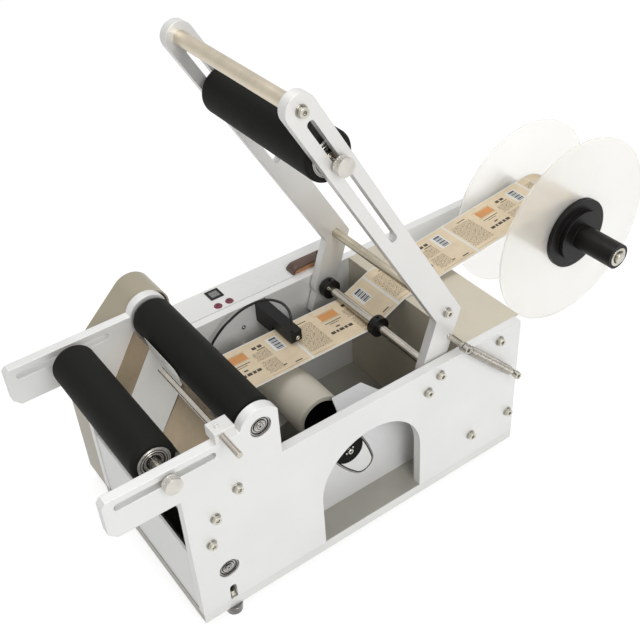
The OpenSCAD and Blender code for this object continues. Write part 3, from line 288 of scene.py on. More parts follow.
ink_orange = look("ink_orange", (0.60, 0.275, 0.09), 0.45, 0.0, (40.0, 0.10), (2200.0, 0.06, 0.00005), 0.0,
                  0.0002)
ink_dark = look("ink_dark", (0.050, 0.038, 0.026), 0.5, 0.0, (90.0, 0.20), (2200.0, 0.06, 0.00005), 0.0,
                0.0002)
ink_soft = look("ink_soft", (0.30, 0.225, 0.135), 0.5, 0.0, (90.0, 0.20), (2200.0, 0.06, 0.00005), 0.0,
                0.0002)
ink_blue = look("ink_blue", (0.045, 0.055, 0.085), 0.5, 0.0, (90.0, 0.20), (2200.0, 0.06, 0.00005), 0.0,
                0.0002)
display_glass = look("display_glass", (0.15, 0.15, 0.145), 0.3, 0.0, (60.0, 0.15), (900.0, 0.03, 0.0001), 0.1,
                     0.0003)
display_bar = look("display_bar", (0.34, 0.34, 0.33), 0.35, 0.0, (90.0, 0.1), (900.0, 0.03, 0.0001), 0.0,
                   0.0002)
cable_black = look("cable_black", (0.007, 0.007, 0.007), 0.42, 0.0, (60.0, 0.2), (1200.0, 0.1, 0.0001), 0.0,
                   0.0003)
belt_black = look("belt_black", (0.020, 0.020, 0.020), 0.6, 0.0, (60.0, 0.2), (900.0, 0.2, 0.0002), 0.05,
                  0.0004)

NODE_LOOKS = {
    aluminium: ["near_plate", "far_plate"],
    base_aluminium: ["base_plate"],
    panel_aluminium: ["end_panels"],
    arm_aluminium: ["near_arm", "far_arm", "stop_block"],
    wall_paint: ["inner_wall"],
    cover_painted_shade: ["side_cover"],
    panel_white: ["control_panel"],
    beige_paint: ["rear_deck"],
    drum_card: ["takeup_drum"],
    peel_steel: ["peel_plate"],
    steel: ["cross_bars", "pivot_rod", "reel_shaft", "front_axle", "press_axle", "drive_shaft", "motor_shaft",
            "stop_rod"],
    knob_steel: ["front_near_knob", "front_far_knob", "press_near_knob", "press_far_knob"],
    spring_steel: ["spring_stud", "spring_coil", "spring_end"],
    tie_steel: ["arm_tie"],
    rod_steel: ["handle_bar"],
    screw_steel: ["plate_screws", "arm_screws"],
    bearing_steel: ["shaft_bearings", "front_bearings", "press_bearings"],
    rubber: ["front_roller", "drive_roller", "press_roller", "pull_roller", "pinch_roller"],
    black_plastic: ["near_collar", "far_collar", "sensor_fork", "counter_display", "switch_plunger",
                    "power_inlet", "power_rocker", "spool_hub", "near_hub", "gear_motor"],
    cable_black: ["sensor_cable"],
    belt_black: ["drive_belts"],
    red_plastic: ["start_button", "reset_button"],
    tan_plastic: ["switch_body"],
    milky_plastic: ["near_disc"],
    milky_thin: ["far_disc"],
    liner_paper: ["label_web", "label_roll"],
    foot_chrome: ["feet"],
}
for material, names in NODE_LOOKS.items():
    for name in names:
        slots = nodes[name].data.materials
        slots.clear()
        slots.append(material)


# Shapes
class Shape:
    """A mesh in millimetres in the plate's frame; each face keeps the material in use when it was made."""

    def __init__(self):
        self.mesh = bmesh.new()
        self.material = 0

    def sheet(self, rows, closed=False, smooth=True):
        """A grid of faces over rows of points; closed joins each row's end to its start."""
        grid = [[self.mesh.verts.new(place(*p)) for p in row] for row in rows]
        count = len(grid[0])
        for a, b in zip(grid, grid[1:]):
            for k in range(count if closed else count - 1):
                k2 = (k + 1) % count
                made = self.mesh.faces.new((a[k], a[k2], b[k2], b[k]))
                made.material_index = self.material
                made.smooth = smooth
        return grid

    def cap(self, ring, flip=False):
        made = self.mesh.faces.new(list(reversed(ring)) if flip else ring)
        made.material_index = self.material

    def turned(self, axis, profile, sides=64, smooth=False):
        """A closed turned ring along Y round axis (x, z), from pairs of radius and y."""
        rows = []
        for r, y in [*profile, profile[0]]:
            rows.append([(axis[0] + r * math.cos(2 * math.pi * k / sides), y,
                          axis[1] + r * math.sin(2 * math.pi * k / sides))
                         for k in range(sides)])
        self.sheet(rows, True, smooth)

    def tube(self, points, radius, sides=10):
        points = [Vector(p) for p in points]
        rows, side = [], None
        for i, p in enumerate(points):
            ahead = (points[min(i + 1, len(points) - 1)] - points[max(i - 1, 0)]).normalized()
            if side is None:
                side = ahead.orthogonal().normalized()
            side = (side - ahead * side.dot(ahead)).normalized()
            up = ahead.cross(side)
            rows.append([p + radius * (math.cos(2 * math.pi * k / sides) * side
                                       + math.sin(2 * math.pi * k / sides) * up)
                         for k in range(sides)])
        grid = self.sheet(rows, True)
        self.cap(grid[0])
        self.cap(grid[-1], True)

    def block(self, low, high, bevel=0.5, segments=2):
        """A box with rounded edges."""
        made = bmesh.ops.create_cube(self.mesh, size=1.0)["verts"]
        low, high = place(*low), place(*high)
        middle, size = (low + high) / 2, high - low
        for v in made:
            v.co = Vector((v.co.x * size.x, v.co.y * size.y, v.co.z * size.z)) + middle
        edges = {e for v in made for e in v.link_edges}
        faces = {f for v in made for f in v.link_faces}
        for f in faces:
            f.material_index = self.material
        rounded = bmesh.ops.bevel(self.mesh, geom=list(edges), offset=bevel * MM, segments=segments,
                                  affect="EDGES", profile=0.5)
        for f in rounded["faces"]:
            f.material_index = self.material
            f.smooth = True

    def piece(self, name, body, slot, *materials):
        bmesh.ops.remove_doubles(self.mesh, verts=self.mesh.verts, dist=1e-7)
        bmesh.ops.recalc_face_normals(self.mesh, faces=self.mesh.faces)
        data = bpy.data.meshes.new(name)
        self.mesh.to_mesh(data)
        self.mesh.free()
        for material in materials:
            data.materials.append(material)
        made = bpy.data.objects.new(name, data)
        bpy.context.scene.collection.objects.link(made)
        if body:
            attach(made, body)
        return made


def curved(points, steps):
    """The points with a smooth curve through them."""
    points = [Vector(p) for p in points]
    ends = [2 * points[0] - points[1], *points, 2 * points[-1] - points[-2]]
    line = []
    for a, b, c, d in zip(ends, ends[1:], ends[2:], ends[3:]):
        for k in range(steps):
            t = k / steps
            line.append(0.5 * (2 * b + (c - a) * t + (2 * a - 5 * b + 4 * c - d) * t * t
                               + (3 * b - a - 3 * c + d) * t ** 3))
    return [*line, points[-1]]


# Sensor cable
CABLE_R = 1.75
CABLE_ROUTE = [(249.5, 164.5, 200), (249.5, 164.5, 207), (250.5, 165, 214), (252, 168, 222), (253, 175, 228),
               (252, 185.5, 231),
               (248.5, 196.5, 230.5), (243, 206.5, 228.5), (236, 215, 224.5), (227.5, 221, 220),
               (218, 225.5, 215), (209, 228.5, 209),
               (199.5, 230.5, 202.5), (190.5, 232, 196), (182, 233, 188), (175, 233.5, 180.5),
               (169.5, 234, 172), (167, 234.6, 166),
               (165.8, 236, 161), (165.1, 239, 157.2), (165, 242.5, 156), (165, 245, 156)]
cable_line = [place(*p) for p in curved(CABLE_ROUTE, 8)]
cable_curve = bpy.data.curves.new("sensor_lead", "CURVE")
cable_curve.dimensions = "3D"
cable_curve.bevel_depth = CABLE_R * MM
cable_curve.bevel_resolution = 5
spline = cable_curve.splines.new("POLY")
spline.points.add(len(cable_line) - 1)
for point, p in zip(spline.points, cable_line):
    point.co = (*p, 1.0)
cable_curve.materials.append(cable_black)
sensor_lead = bpy.data.objects.new("sensor_lead", cable_curve)
bpy.context.scene.collection.objects.link(sensor_lead)
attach(sensor_lead, "frame")
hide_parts("sensor_cable")

# Return spring: a close coil with a hook round the anchor screw
STUD = Vector((374.2, 224.3))
ANCHOR = Vector((464.0, 133.0))
SPRING_Y = -12.0
COIL_R = 5.2
WIRE_R = 0.8
COIL_TURNS = 47
COIL_START = 9.5
COIL_LEN = 109.0
COIL_STEPS = 20
HOOK_R = 3.4
along = (ANCHOR - STUD).normalized()
across = Vector((-along.y, along.x))
spring_len = (ANCHOR - STUD).length


def spring_point(run, out, side):
    p = STUD + along * run + across * side
    return Vector((p.x, SPRING_Y + out, p.y))


coil = [spring_point(COIL_START - 3.0 + 0.6 * k, 0.0, COIL_R) for k in range(5)]
for i in range(COIL_TURNS * COIL_STEPS + 1):
    turn = 2 * math.pi * i / COIL_STEPS
    run = i / (COIL_TURNS * COIL_STEPS)
    taper = min(1.0, 0.62 + 0.38 * min(run, 1 - run) / 0.06)
    coil.append(spring_point(COIL_START + COIL_LEN * run, COIL_R * taper * math.sin(turn),
                             COIL_R * taper * math.cos(turn)))
coil_end = COIL_START + COIL_LEN
coil += curved([coil[-1], spring_point(coil_end + 2.5, 0.0, 1.2), spring_point(spring_len - HOOK_R - 4, 0.0,
                                                                               0.0)], 5)[1:]
coil += [spring_point(spring_len - HOOK_R * math.cos(a), 0.0, HOOK_R * math.sin(a))
         for a in [math.radians(d) for d in range(0, 331, 15)]]
spring = Shape()
spring.tube(coil, WIRE_R, 8)
return_spring = spring.piece("return_spring", None, "bright_steel", spring_steel)
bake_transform(return_spring)
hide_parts("spring_coil")

# Label web: stops of middle, radius and side, from the roll to the take-up drum
WEB_Y0, WEB_Y1 = 125.0, 203.0
WEB_T = 0.4
STRIP_OUT = 0.6
PEEL = Vector((78.0, 239.0))
WEB_STOPS = [((688, 190), 47 + STRIP_OUT, 1), ((399.5, 201), 1 + STRIP_OUT, 1),
             ((349.3, 186.7), 6 + STRIP_OUT, -1),
             ((65.2, 186.6), 5 + STRIP_OUT, -1), ((78, 239), 0.6 + STRIP_OUT, 1),
             ((34.3, 159.7), 5 + STRIP_OUT, 1),
             ((24.7, 123.6), 5 + STRIP_OUT, 1), ((40.5, 69), 20 + STRIP_OUT, 1),
             ((223, 139), 30.5 + STRIP_OUT, 1)]
PEEL_STOP = 4
WRAP = 40.0


def web_line():
    """Points on the web's middle line with the normal of its under side, and the index where it peels."""
    runs = []
    for (a, ra, sa), (b, rb, sb) in zip(WEB_STOPS, WEB_STOPS[1:]):
        d = Vector(b) - Vector(a)
        runs.append(math.degrees(math.atan2(d.y, d.x) + math.acos((rb * sb - ra * sa) / d.length)))
    line, peel_at = [], 0
    for i, (middle, r, side) in enumerate(WEB_STOPS):
        first = runs[max(i - 1, 0)]
        last = first + WRAP if i == len(runs) else runs[i]
        turn = (last - first + 180) % 360 - 180
        steps = max(1, math.ceil(abs(turn) / 5))
        for k in range(steps + 1):
            a = math.radians(first + turn * k / steps)
            n = Vector((math.cos(a), math.sin(a)))
            line.append((Vector(middle) - n * r * side, n))
        if i == PEEL_STOP - 1:
            peel_at = len(line)
    return line, peel_at


def refined(line, step):
    """The same line with its straight runs cut into short steps."""
    fine = [line[0]]
    for (p, n), (q, m) in zip(line, line[1:]):
        cuts = max(1, math.ceil((q - p).length / step))
        fine += [(p.lerp(q, k / cuts), n.lerp(m, k / cuts).normalized()) for k in range(1, cuts + 1)]
    return fine


web, peel_at = web_line()
web = refined(web, 6.0)
lengths = [0.0]
for (p, n), (q, m) in zip(web, web[1:]):
    lengths.append(lengths[-1] + (q - p).length)


def web_at(distance):
    """The middle line and its under-side normal at a distance from the roll."""
    for i in range(len(web) - 1):
        if distance <= lengths[i + 1]:
            t = (distance - lengths[i]) / max(1e-9, lengths[i + 1] - lengths[i])
            return web[i][0].lerp(web[i + 1][0], t), web[i][1].lerp(web[i + 1][1], t).normalized()
    return web[-1]


def on_web(distance, y, lift):
    p, n = web_at(distance)
    p = p - n * lift
    return (p.x, y, p.y)


def web_patch(shape, s0, s1, y0, y1, lift, step=3.0):
    """A thin patch on the web's printed side, between two distances and two edges."""
    cuts = max(1, math.ceil((s1 - s0) / step))
    rows = [[on_web(s0 + (s1 - s0) * k / cuts, y, lift) for y in (y0, y1)] for k in range(cuts + 1)]
    shape.sheet(rows)


def web_slab(shape, s0, s1, y0, y1, low, high, step=3.0):
    """A closed strip along the web, between two heights over its middle line."""
    cuts = max(1, math.ceil((s1 - s0) / step))
    rows = []
    for k in range(cuts + 1):
        s = s0 + (s1 - s0) * k / cuts
        rows.append([on_web(s, y0, low), on_web(s, y1, low), on_web(s, y1, high), on_web(s, y0, high)])
    grid = shape.sheet(rows, True, False)
    shape.cap(grid[0])
    shape.cap(grid[-1], True)


def web_distance(x):
    """Distance along the web at a length x of the run towards the peel edge."""
    return min((d for d, (p, n) in zip(lengths, web) if d < peel_length),
               key=lambda d: abs(web_at(d)[0].x - x))


peel_length = min((d for d, (p, n) in zip(lengths, web) if d > 350),
                  key=lambda d: (web_at(d)[0] - PEEL).length)

liner = Shape()
web_slab(liner, 0.0, lengths[-1], WEB_Y0, WEB_Y1, -WEB_T / 2, 0.0, 2.5)
label_liner = liner.piece("label_liner", "frame", "label_paper", liner_paper)
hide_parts("label_web")

# Labels and their print: plain blocks, bars and ticks in a layout of their own
LABEL_PITCH = 139.0
LABEL_GAP = 3.5
LABEL_EDGE = 2.0
SEAM_X = 253.0
seam = web_distance(SEAM_X)
labels, prints = Shape(), Shape()
ORANGE, DARK, SOFT, WHITE, BLUE = range(5)
PRINT = [
    (ORANGE, 62, 88, 51, 65), (WHITE, 12, 28, 40, 68), (SOFT, 60, 92, 49.6, 50.2), (SOFT, 60, 92, 66.0, 66.6),
    (DARK, 60, 66, 22, 27), (DARK, 67.5, 72, 22, 27), (DARK, 73.5, 80, 22, 27), (DARK, 81.5, 85, 22, 27),
    (DARK, 86.5, 93, 22, 27), (DARK, 64, 89, 43.6, 45.0), (DARK, 70, 84, 40.2, 41.2),
         (DARK, 74, 80, 31.5, 34.0),
    (DARK, 34, 46, 56, 57.6), (DARK, 30, 35, 12, 14), (DARK, 10, 20, 8.0, 10.0), (DARK, 36, 42, 60, 65),
    (DARK, 44, 50, 60, 65), (SOFT, 4, 56, 5.0, 5.6), (SOFT, 100, 134, 5.0, 5.6), (DARK, 104, 118, 66, 67.6),
]
BARS = [(42, 43.2), (44.4, 46.8), (48.0, 48.9), (50.2, 52.8), (54.2, 55.0), (56.4, 58.6), (60.0, 60.9),
        (62.2, 65.6)]
TICK_ROWS = [(34, 56, 10, 34, 1.5), (100, 134, 12, 62, 1.9), (34, 56, 38, 54, 1.7)]


def label_print(shape, start, low, high):
    """The print of a label that starts at a distance and shows between two distances."""
    def mark(ink, a, b, y0, y1, lift):
        s0, s1 = max(low, start + a), min(high, start + b)
        if s1 - s0 > 0.3:
            shape.material = ink
            web_patch(shape, s0, s1, WEB_Y0 + y0, WEB_Y0 + y1, lift)

    for ink, a, b, y0, y1 in PRINT:
        mark(ink, a, b, y0, y1, 0.24)
    for y0, y1 in BARS:
        mark(BLUE, 14, 24, y0, y1, 0.27)
    for a, b, y0, y1, pitch in TICK_ROWS:
        row = 0
        y = y0
        while y < y1:
            s, word = a, 0
            while s < b - 1.0:
                size = 1.2 + 2.6 * ((row * 7 + word * 5) % 11) / 10
                mark(SOFT if (row + word) % 4 else DARK, s, min(b, s + size), y, y + pitch * 0.48, 0.24)
                s += size + 0.8
                word += 1
            y += pitch
            row += 1


for k in range(-4, 4):
    start = seam + LABEL_PITCH * k + LABEL_GAP / 2
    low, high = max(start, 2.0), min(start + LABEL_PITCH - LABEL_GAP, peel_length - 4)
    if high - low > 4:
        web_slab(labels, low, high, WEB_Y0 + LABEL_EDGE, WEB_Y1 - LABEL_EDGE, 0.02, 0.2)
        label_print(prints, start, low, high)
labels.piece("labels", "frame", "label_paper", label_paper)
prints.piece("label_print", "frame", "label_paper", ink_orange, ink_dark, ink_soft, liner_paper, ink_blue)

# The label that is coming off at the peel edge, with rounded corners
TIP_FOOT = Vector((76.6, 240.3))
TIP_TOP = Vector((71.6, 263.3))
TIP_CORNER = 5.0
tip = Shape()
tip_len = (TIP_TOP - TIP_FOOT).length
rows = []
for k in range(13):
    t = k / 12
    inset = 0.0
    left = (1 - t) * tip_len
    if left < TIP_CORNER:
        inset = TIP_CORNER - math.sqrt(max(0.0, TIP_CORNER ** 2 - (TIP_CORNER - left) ** 2))
    p = TIP_FOOT.lerp(TIP_TOP, t) + Vector((0.8 * math.sin(math.pi * t), 0))
    rows.append([(p.x, WEB_Y0 + LABEL_EDGE + inset, p.y), (p.x, WEB_Y1 - LABEL_EDGE - inset, p.y),
                 (p.x + 0.2, WEB_Y1 - LABEL_EDGE - inset, p.y), (p.x + 0.2, WEB_Y0 + LABEL_EDGE + inset,
                                                                 p.y)])
grid = tip.sheet(rows, True)
tip.cap(grid[0])
tip.cap(grid[-1], True)
tip.piece("peeled_label", "frame", "label_paper", liner_paper)

# Roll of labels: many turns that show as fine steps on its ends
REEL = (688.0, 190.0)
ROLL_IN, ROLL_OUT = 37.6, 47.0
TURNS = 16
roll = Shape()
profile = []
for k in range(TURNS):
    r0 = ROLL_IN + (ROLL_OUT - ROLL_IN) * k / TURNS
    r1 = ROLL_IN + (ROLL_OUT - ROLL_IN) * (k + 0.8) / TURNS
    set_in = 0.15 + 0.25 * ((k * 5) % 7) / 7
    profile += [(r0, WEB_Y0 + set_in), (r1, WEB_Y0 + set_in)]
profile += [(ROLL_OUT, WEB_Y0 + 0.3), (ROLL_OUT, WEB_Y1 - 0.3)]
for k in reversed(range(TURNS)):
    r0 = ROLL_IN + (ROLL_OUT - ROLL_IN) * k / TURNS
    r1 = ROLL_IN + (ROLL_OUT - ROLL_IN) * (k + 0.8) / TURNS
    set_in = 0.15 + 0.25 * ((k * 3) % 7) / 7
    profile += [(r1, WEB_Y1 - set_in), (r0, WEB_Y1 - set_in)]
roll.turned(REEL, profile, 96)
label_coil = roll.piece("label_coil", "reel", "label_paper", label_paper)
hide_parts("label_roll")

# Washers under the cap screws of the near plate and of the swing arms; their dark colour paints the shadow
# ring round each screw head
PLATE_SCREWS = [(65.2, 186.6), (34.3, 159.7), (24.7, 123.6), (330.6, 169.8), (445.2, 188.6), (469.2, 54.8),
                (404.5, 51.9),
                (349.3, 186.7)]
HANDLE = (188.9, 578.6)
ARM_TIE = (369.53, 262.58)
SCREW_R = 5.0
WASHER_R = 6.6
WASHER_T = 1.0


def washer(shape, p, y, side):
    shape.turned(p, [(SCREW_R + 0.05, y), (WASHER_R, y), (WASHER_R, y + side * WASHER_T * 0.7),
                     (WASHER_R - 0.4, y + side * WASHER_T),
                     (SCREW_R + 0.05, y + side * WASHER_T)], 40)


washers = Shape()
for p in PLATE_SCREWS:
    washer(washers, p, -0.02, -1)
washers.piece("plate_washers", "frame", "bright_steel", washer_steel_and_shadow)
arm_washers = Shape()
for p in (HANDLE, ARM_TIE):
    washer(arm_washers, p, 13.98, -1)
    washer(arm_washers, p, 243.02, 1)
arm_washers.piece("arm_washers", "press_frame", "bright_steel", washer_steel_and_shadow)


# Bearing shields: pressed rings between the bearing's races
def shield(shape, p, face, side, inner, outer):
    wide = outer - inner
    shape.turned(p, [(inner, face), (inner + wide * 0.12, face - side * 0.35),
                     (inner + wide * 0.30, face - side * 0.1),
                     (inner + wide * 0.45, face - side * 0.45), (inner + wide * 0.62, face - side * 0.1),
                     (inner + wide * 0.85, face - side * 0.4), (outer, face), (outer, face + side * 0.3),
                     (inner, face + side * 0.3)],
                 64, True)


def flat_ring(shape, p, face, side, inner, outer, rise=0.12):
    shape.turned(p, [(inner, face + side * 0.05), (inner, face - side * rise), (outer, face - side * rise),
                     (outer, face + side * 0.05)], 64)


DRIVE = (102.4, 253.7)
PULL = (40.5, 69.0)
FRONT = (-7.5, 248.5)
PRESS = (226.86, 512.19)
ear_shields, ear_grooves = Shape(), Shape()
for p in (DRIVE, PULL):
    for face, side in ((2.0, 1), (255.0, -1)):
        shield(ear_shields, p, face + side * 0.75, side, 7.3, 10.7)
        for inner, outer in ((12.25, 12.98), (9.9, 10.95), (7.05, 7.9)):
            flat_ring(ear_grooves, p, face, side, inner, outer)
ear_shields.piece("ear_shields", "frame", "bright_steel", bearing_steel)
ear_grooves.piece("ear_grooves", "frame", "black_plastic", groove_black)
for name, body, p in (("drive_end", "drive_wheel", DRIVE), ("pull_end", "pull_wheel", PULL)):
    end = Shape()
    flat_ring(end, p, 1.0, 1, 1.5, 4.9, 0.2)
    end.material = 1
    flat_ring(end, p, 1.0, 1, 0.02, 1.5, 0.1)
    flat_ring(end, p, 0.8, 1, 3.2, 3.9, 0.06)
    end.piece(name, body, "bright_steel", bearing_steel, groove_black)

# Ends of the bottle rollers: a ridged steel ring round each bearing
# Piece, body, axis, near face, far face and rim radius
ROLLER_ENDS = (("front_ends", "front_wheel", FRONT, 30.0, 227.0, 19.0),
               ("press_ends", "press_wheel", PRESS, 28.0, 225.0, 20.6))
RING_IN = 13.1
for name, body, p, y0, y1, rim in ROLLER_ENDS:
    ends = Shape()
    for face, side in ((y0, 1), (y1, -1)):
        shield(ends, p, face + side * 1.25, side, 6.5, 10.5)
        ridge = (rim - RING_IN) / 6
        ends.turned(p, [(RING_IN, face + side * 0.05), (RING_IN, face - side * 0.3),
                        (RING_IN + ridge, face - side * 0.6), (RING_IN + 1.6 * ridge, face - side * 0.2),
                        (RING_IN + 2.6 * ridge, face - side * 0.2),
                        (RING_IN + 3.2 * ridge, face - side * 0.6),
                        (RING_IN + 4.2 * ridge, face - side * 0.6),
                        (RING_IN + 4.8 * ridge, face - side * 0.2),
                        (RING_IN + 5.4 * ridge, face - side * 0.6), (rim, face - side * 0.4),
                        (rim, face + side * 0.05)], 72)
    ends.material = 1
    for face, side in ((y0, 1), (y1, -1)):
        ridge = (rim - RING_IN) / 6
        flat_ring(ends, p, face + side * 0.5, side, 11.6, 13.0, 0.1)
        flat_ring(ends, p, face + side * 0.75, side, 4.8, 8.6, 0.1)
        flat_ring(ends, p, face - side * 0.2, side, RING_IN + 1.7 * ridge, RING_IN + 2.5 * ridge, 0.05)
    ends.piece(name, body, "bright_steel", bearing_steel, groove_black)

# Gear housing on the inner wall: a plug in its hole, a drop-shaped cover, a black cap and its screw
MOTOR = (251.0, 79.0)
HOLE_R = 29.5
WALL_NEAR = 41.0
CAP = (240.5, 97.3)
CAP_END_R = 22.0
LOW_END = (261.2, 61.0)
LOW_END_R = 15.4
SIDE_BULGE = 1.3
ARC_STEPS = 24
SIDE_STEPS = 10
CAP_R = 20.5
CAP_STEPS = [(0.02, 40.55), (CAP_R, 40.55), (CAP_R, 39.4), (19.8, 38.8), (17.6, 38.8), (17.0, 39.2),
             (9.0, 39.2), (8.4, 38.4), (0.02, 38.4)]
CAP_SCREW = [(0.02, 38.5), (3.9, 38.5), (3.9, 36.0), (3.3, 35.3), (2.0, 35.3), (1.9, 36.3), (0.02, 36.3)]
PIN_AT = 5.6
PIN_TURNS = (29, 209)


def drop(shape, profile):
    """Rings round the cover's outline, from pairs of a growth past the outline and y."""
    ahead = Vector(LOW_END) - Vector(CAP)
    turn = math.atan2(ahead.y, ahead.x)
    lean = math.acos((CAP_END_R - LOW_END_R) / ahead.length)
    rows = []
    for grow, y in profile:
        row = []
        for middle, r, a0, a1 in ((CAP, CAP_END_R, turn + lean, turn + 2 * math.pi - lean),
                                  (LOW_END, LOW_END_R, turn - lean, turn + lean)):
            for k in range(ARC_STEPS + 1):
                a = a0 + (a1 - a0) * k / ARC_STEPS
                row.append(Vector((middle[0] + (r + grow) * math.cos(a), y,
                                   middle[1] + (r + grow) * math.sin(a))))
        arc = ARC_STEPS + 1
        sides = []
        for end, start, a in ((arc - 1, arc, turn - lean), (2 * arc - 1, 0, turn + lean)):
            out = Vector((math.cos(a), 0, math.sin(a))) * SIDE_BULGE
            steps = [t / SIDE_STEPS for t in range(1, SIDE_STEPS)]
            sides.append([row[end].lerp(row[start], t) + out * math.sin(math.pi * t) for t in steps])
        rows.append([tuple(p) for p in (*row[:arc], *sides[0], *row[arc:], *sides[1])])
    return shape.sheet(rows, True, False)


boss = Shape()
boss.turned(MOTOR, [(0.02, WALL_NEAR), (HOLE_R - 0.05, WALL_NEAR), (HOLE_R - 0.05, 43.0), (0.02, 43.0)], 96)
boss.material = 1
grid = drop(boss, [(-0.5, WALL_NEAR + 0.02), (-0.5, 40.5)])
boss.cap(grid[0])
boss.cap(grid[1], True)
boss.material = 2
boss.turned(CAP, CAP_STEPS, 72)
boss.material = 3
boss.turned(CAP, CAP_SCREW, 32)
for turn in PIN_TURNS:
    pin = (CAP[0] + PIN_AT * math.cos(math.radians(turn)), CAP[1] + PIN_AT * math.sin(math.radians(turn)))
    boss.turned(pin, [(0.02, 38.45), (1.2, 38.45), (1.2, 38.0), (0.02, 37.9)], 16)
boss.material = 4
boss.turned(CAP, [(0.02, 36.1), (1.8, 36.1), (1.8, 36.25), (0.02, 36.25)], 24)
boss.piece("motor_boss", "frame", "black_plastic", wall_paint, white_paint, drum_dark, screw_steel,
           groove_black)
# The drop cover's rim: a bright steel bead paints the highlight on the cut-out's edge, between two dark
# lines.
rim_highlight = Shape()
HIGHLIGHT_BEAD = [(-0.4, WALL_NEAR + 0.02), (0.9, WALL_NEAR + 0.02), (0.9, 40.3), (0.25, 39.9), (-0.4, 40.3)]
drop(rim_highlight, [*HIGHLIGHT_BEAD, HIGHLIGHT_BEAD[0]])
rim_highlight.material = 1
LINE = [(-2.0, 40.52), (-0.4, 40.52), (-0.4, 40.25), (-2.0, 40.25)]
drop(rim_highlight, [*LINE, LINE[0]])
OUTLINE = [(0.9, WALL_NEAR + 0.02), (1.5, WALL_NEAR + 0.02), (1.5, 40.8), (0.9, 40.8)]
drop(rim_highlight, [*OUTLINE, OUTLINE[0]])
rim_highlight.piece("wall_ring", "frame", "bright_steel", bearing_steel, groove_black)

# Dark inside of the take-up drum
DRUM = (223.0, 139.0)
lining = Shape()
lining.turned(DRUM, [(24.1, 71.6), (24.45, 71.6), (24.45, 128.0), (0.02, 128.0), (0.02, 127.6),
                     (24.1, 127.6)], 72)
lining.piece("drum_lining", "takeup", "black_plastic", drum_dark)

# Counter window: a glass pane with three counters of plain bars
DISPLAY = (212.5, 290.5)
PANE_Z = 203.0
SEGMENTS = ((0, 3.6, 2.2, 0.6), (0, -3.6, 2.2, 0.6), (-1.3, 1.8, 0.5, 2.9), (1.3, 1.8, 0.5, 2.9),
            (-1.3, -1.8, 0.5, 2.9), (1.3, -1.8, 0.5, 2.9))
pane = Shape()
pane.block((DISPLAY[0] - 6.3, DISPLAY[1] - 6.3, PANE_Z - 0.01), (DISPLAY[0] + 6.3, DISPLAY[1] + 6.3,
                                                                 PANE_Z + 0.3), 0.1)
pane.material = 1
for k in range(3):
    x = DISPLAY[0] - 3.9 + 3.9 * k
    for dx, dy, w, h in SEGMENTS:
        pane.block((x + dx - w / 2, DISPLAY[1] + dy - h / 2, PANE_Z + 0.28),
                   (x + dx + w / 2, DISPLAY[1] + dy + h / 2, PANE_Z + 0.42), 0.05)
pane.piece("counter_pane", "frame", "black_plastic", display_glass, display_bar)

# Collars under the push buttons, and the dark middle of each cap
BUTTONS = ((204.0, 266.0, "start_button"), (221.0, 266.0, "reset_button"))


def upright_ring(shape, x, y, profile):
    shape.sheet([[(x + r * math.cos(math.pi * k / 20), y + r * math.sin(math.pi * k / 20),
                   z) for k in range(40)]
                 for r, z in [*profile, profile[0]]], True, False)


rims = Shape()
for x, y, name in BUTTONS:
    upright_ring(rims, x, y, [(4.7, 202.0), (5.6, 202.0), (5.6, 202.4), (5.3, 202.7), (4.7, 202.7)])
rims.piece("button_rims", "frame", "red_plastic", red_plastic)
for x, y, name in BUTTONS:
    top = (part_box(name)[1][2] / MM) - SHIFT.z
    core = Shape()
    upright_ring(core, x, y, [(0.02, top - 0.02), (2.9, top - 0.02), (2.7, top + 0.1), (0.02, top + 0.15)])
    core.piece(name + "_core", name, "red_plastic", button_core)

# Sensor: a screw on its near end
SENSOR_SCREW = (255.4, 189.6)
SENSOR_NEAR = 161.5
sensor_screw = Shape()
sensor_screw.turned(SENSOR_SCREW, [(0.02, SENSOR_NEAR - 0.02), (3.1, SENSOR_NEAR - 0.02),
                                   (3.1, SENSOR_NEAR - 1.0), (2.6, SENSOR_NEAR - 1.6),
                                   (1.3, SENSOR_NEAR - 1.7), (1.2, SENSOR_NEAR - 0.9),
                                   (0.02, SENSOR_NEAR - 0.9)], 40)
sensor_screw.piece("sensor_screw", "frame", "bright_steel", screw_steel)

# Arm switch: a dark hood with a sloped front over a tan block, which shows under the hood's curved edge
SWITCH_X0, SWITCH_X1 = 316.8, 375.2
SWITCH_Y0, SWITCH_Y1 = 258.7, 275.8
HOOD_TOP = 211.9
HOOD_SLOPE = 8.0
HOOD_LOW = 208.3
HOOD_ARC = 9.0


def hood_top(x):
    run = min(1.0, (x - SWITCH_X0) / HOOD_SLOPE)
    return 207.0 + (HOOD_TOP - 207.0) * math.sin(run * math.pi / 2)


def hood_edge(x):
    """Lower edge of the hood on its near face: down at the front end, then up in an arc."""
    run = min(1.0, max(0.0, (x - SWITCH_X0 - 2.5) / HOOD_ARC))
    return 202.05 + (HOOD_LOW - 202.05) * math.sqrt(1 - (1 - run) ** 2)


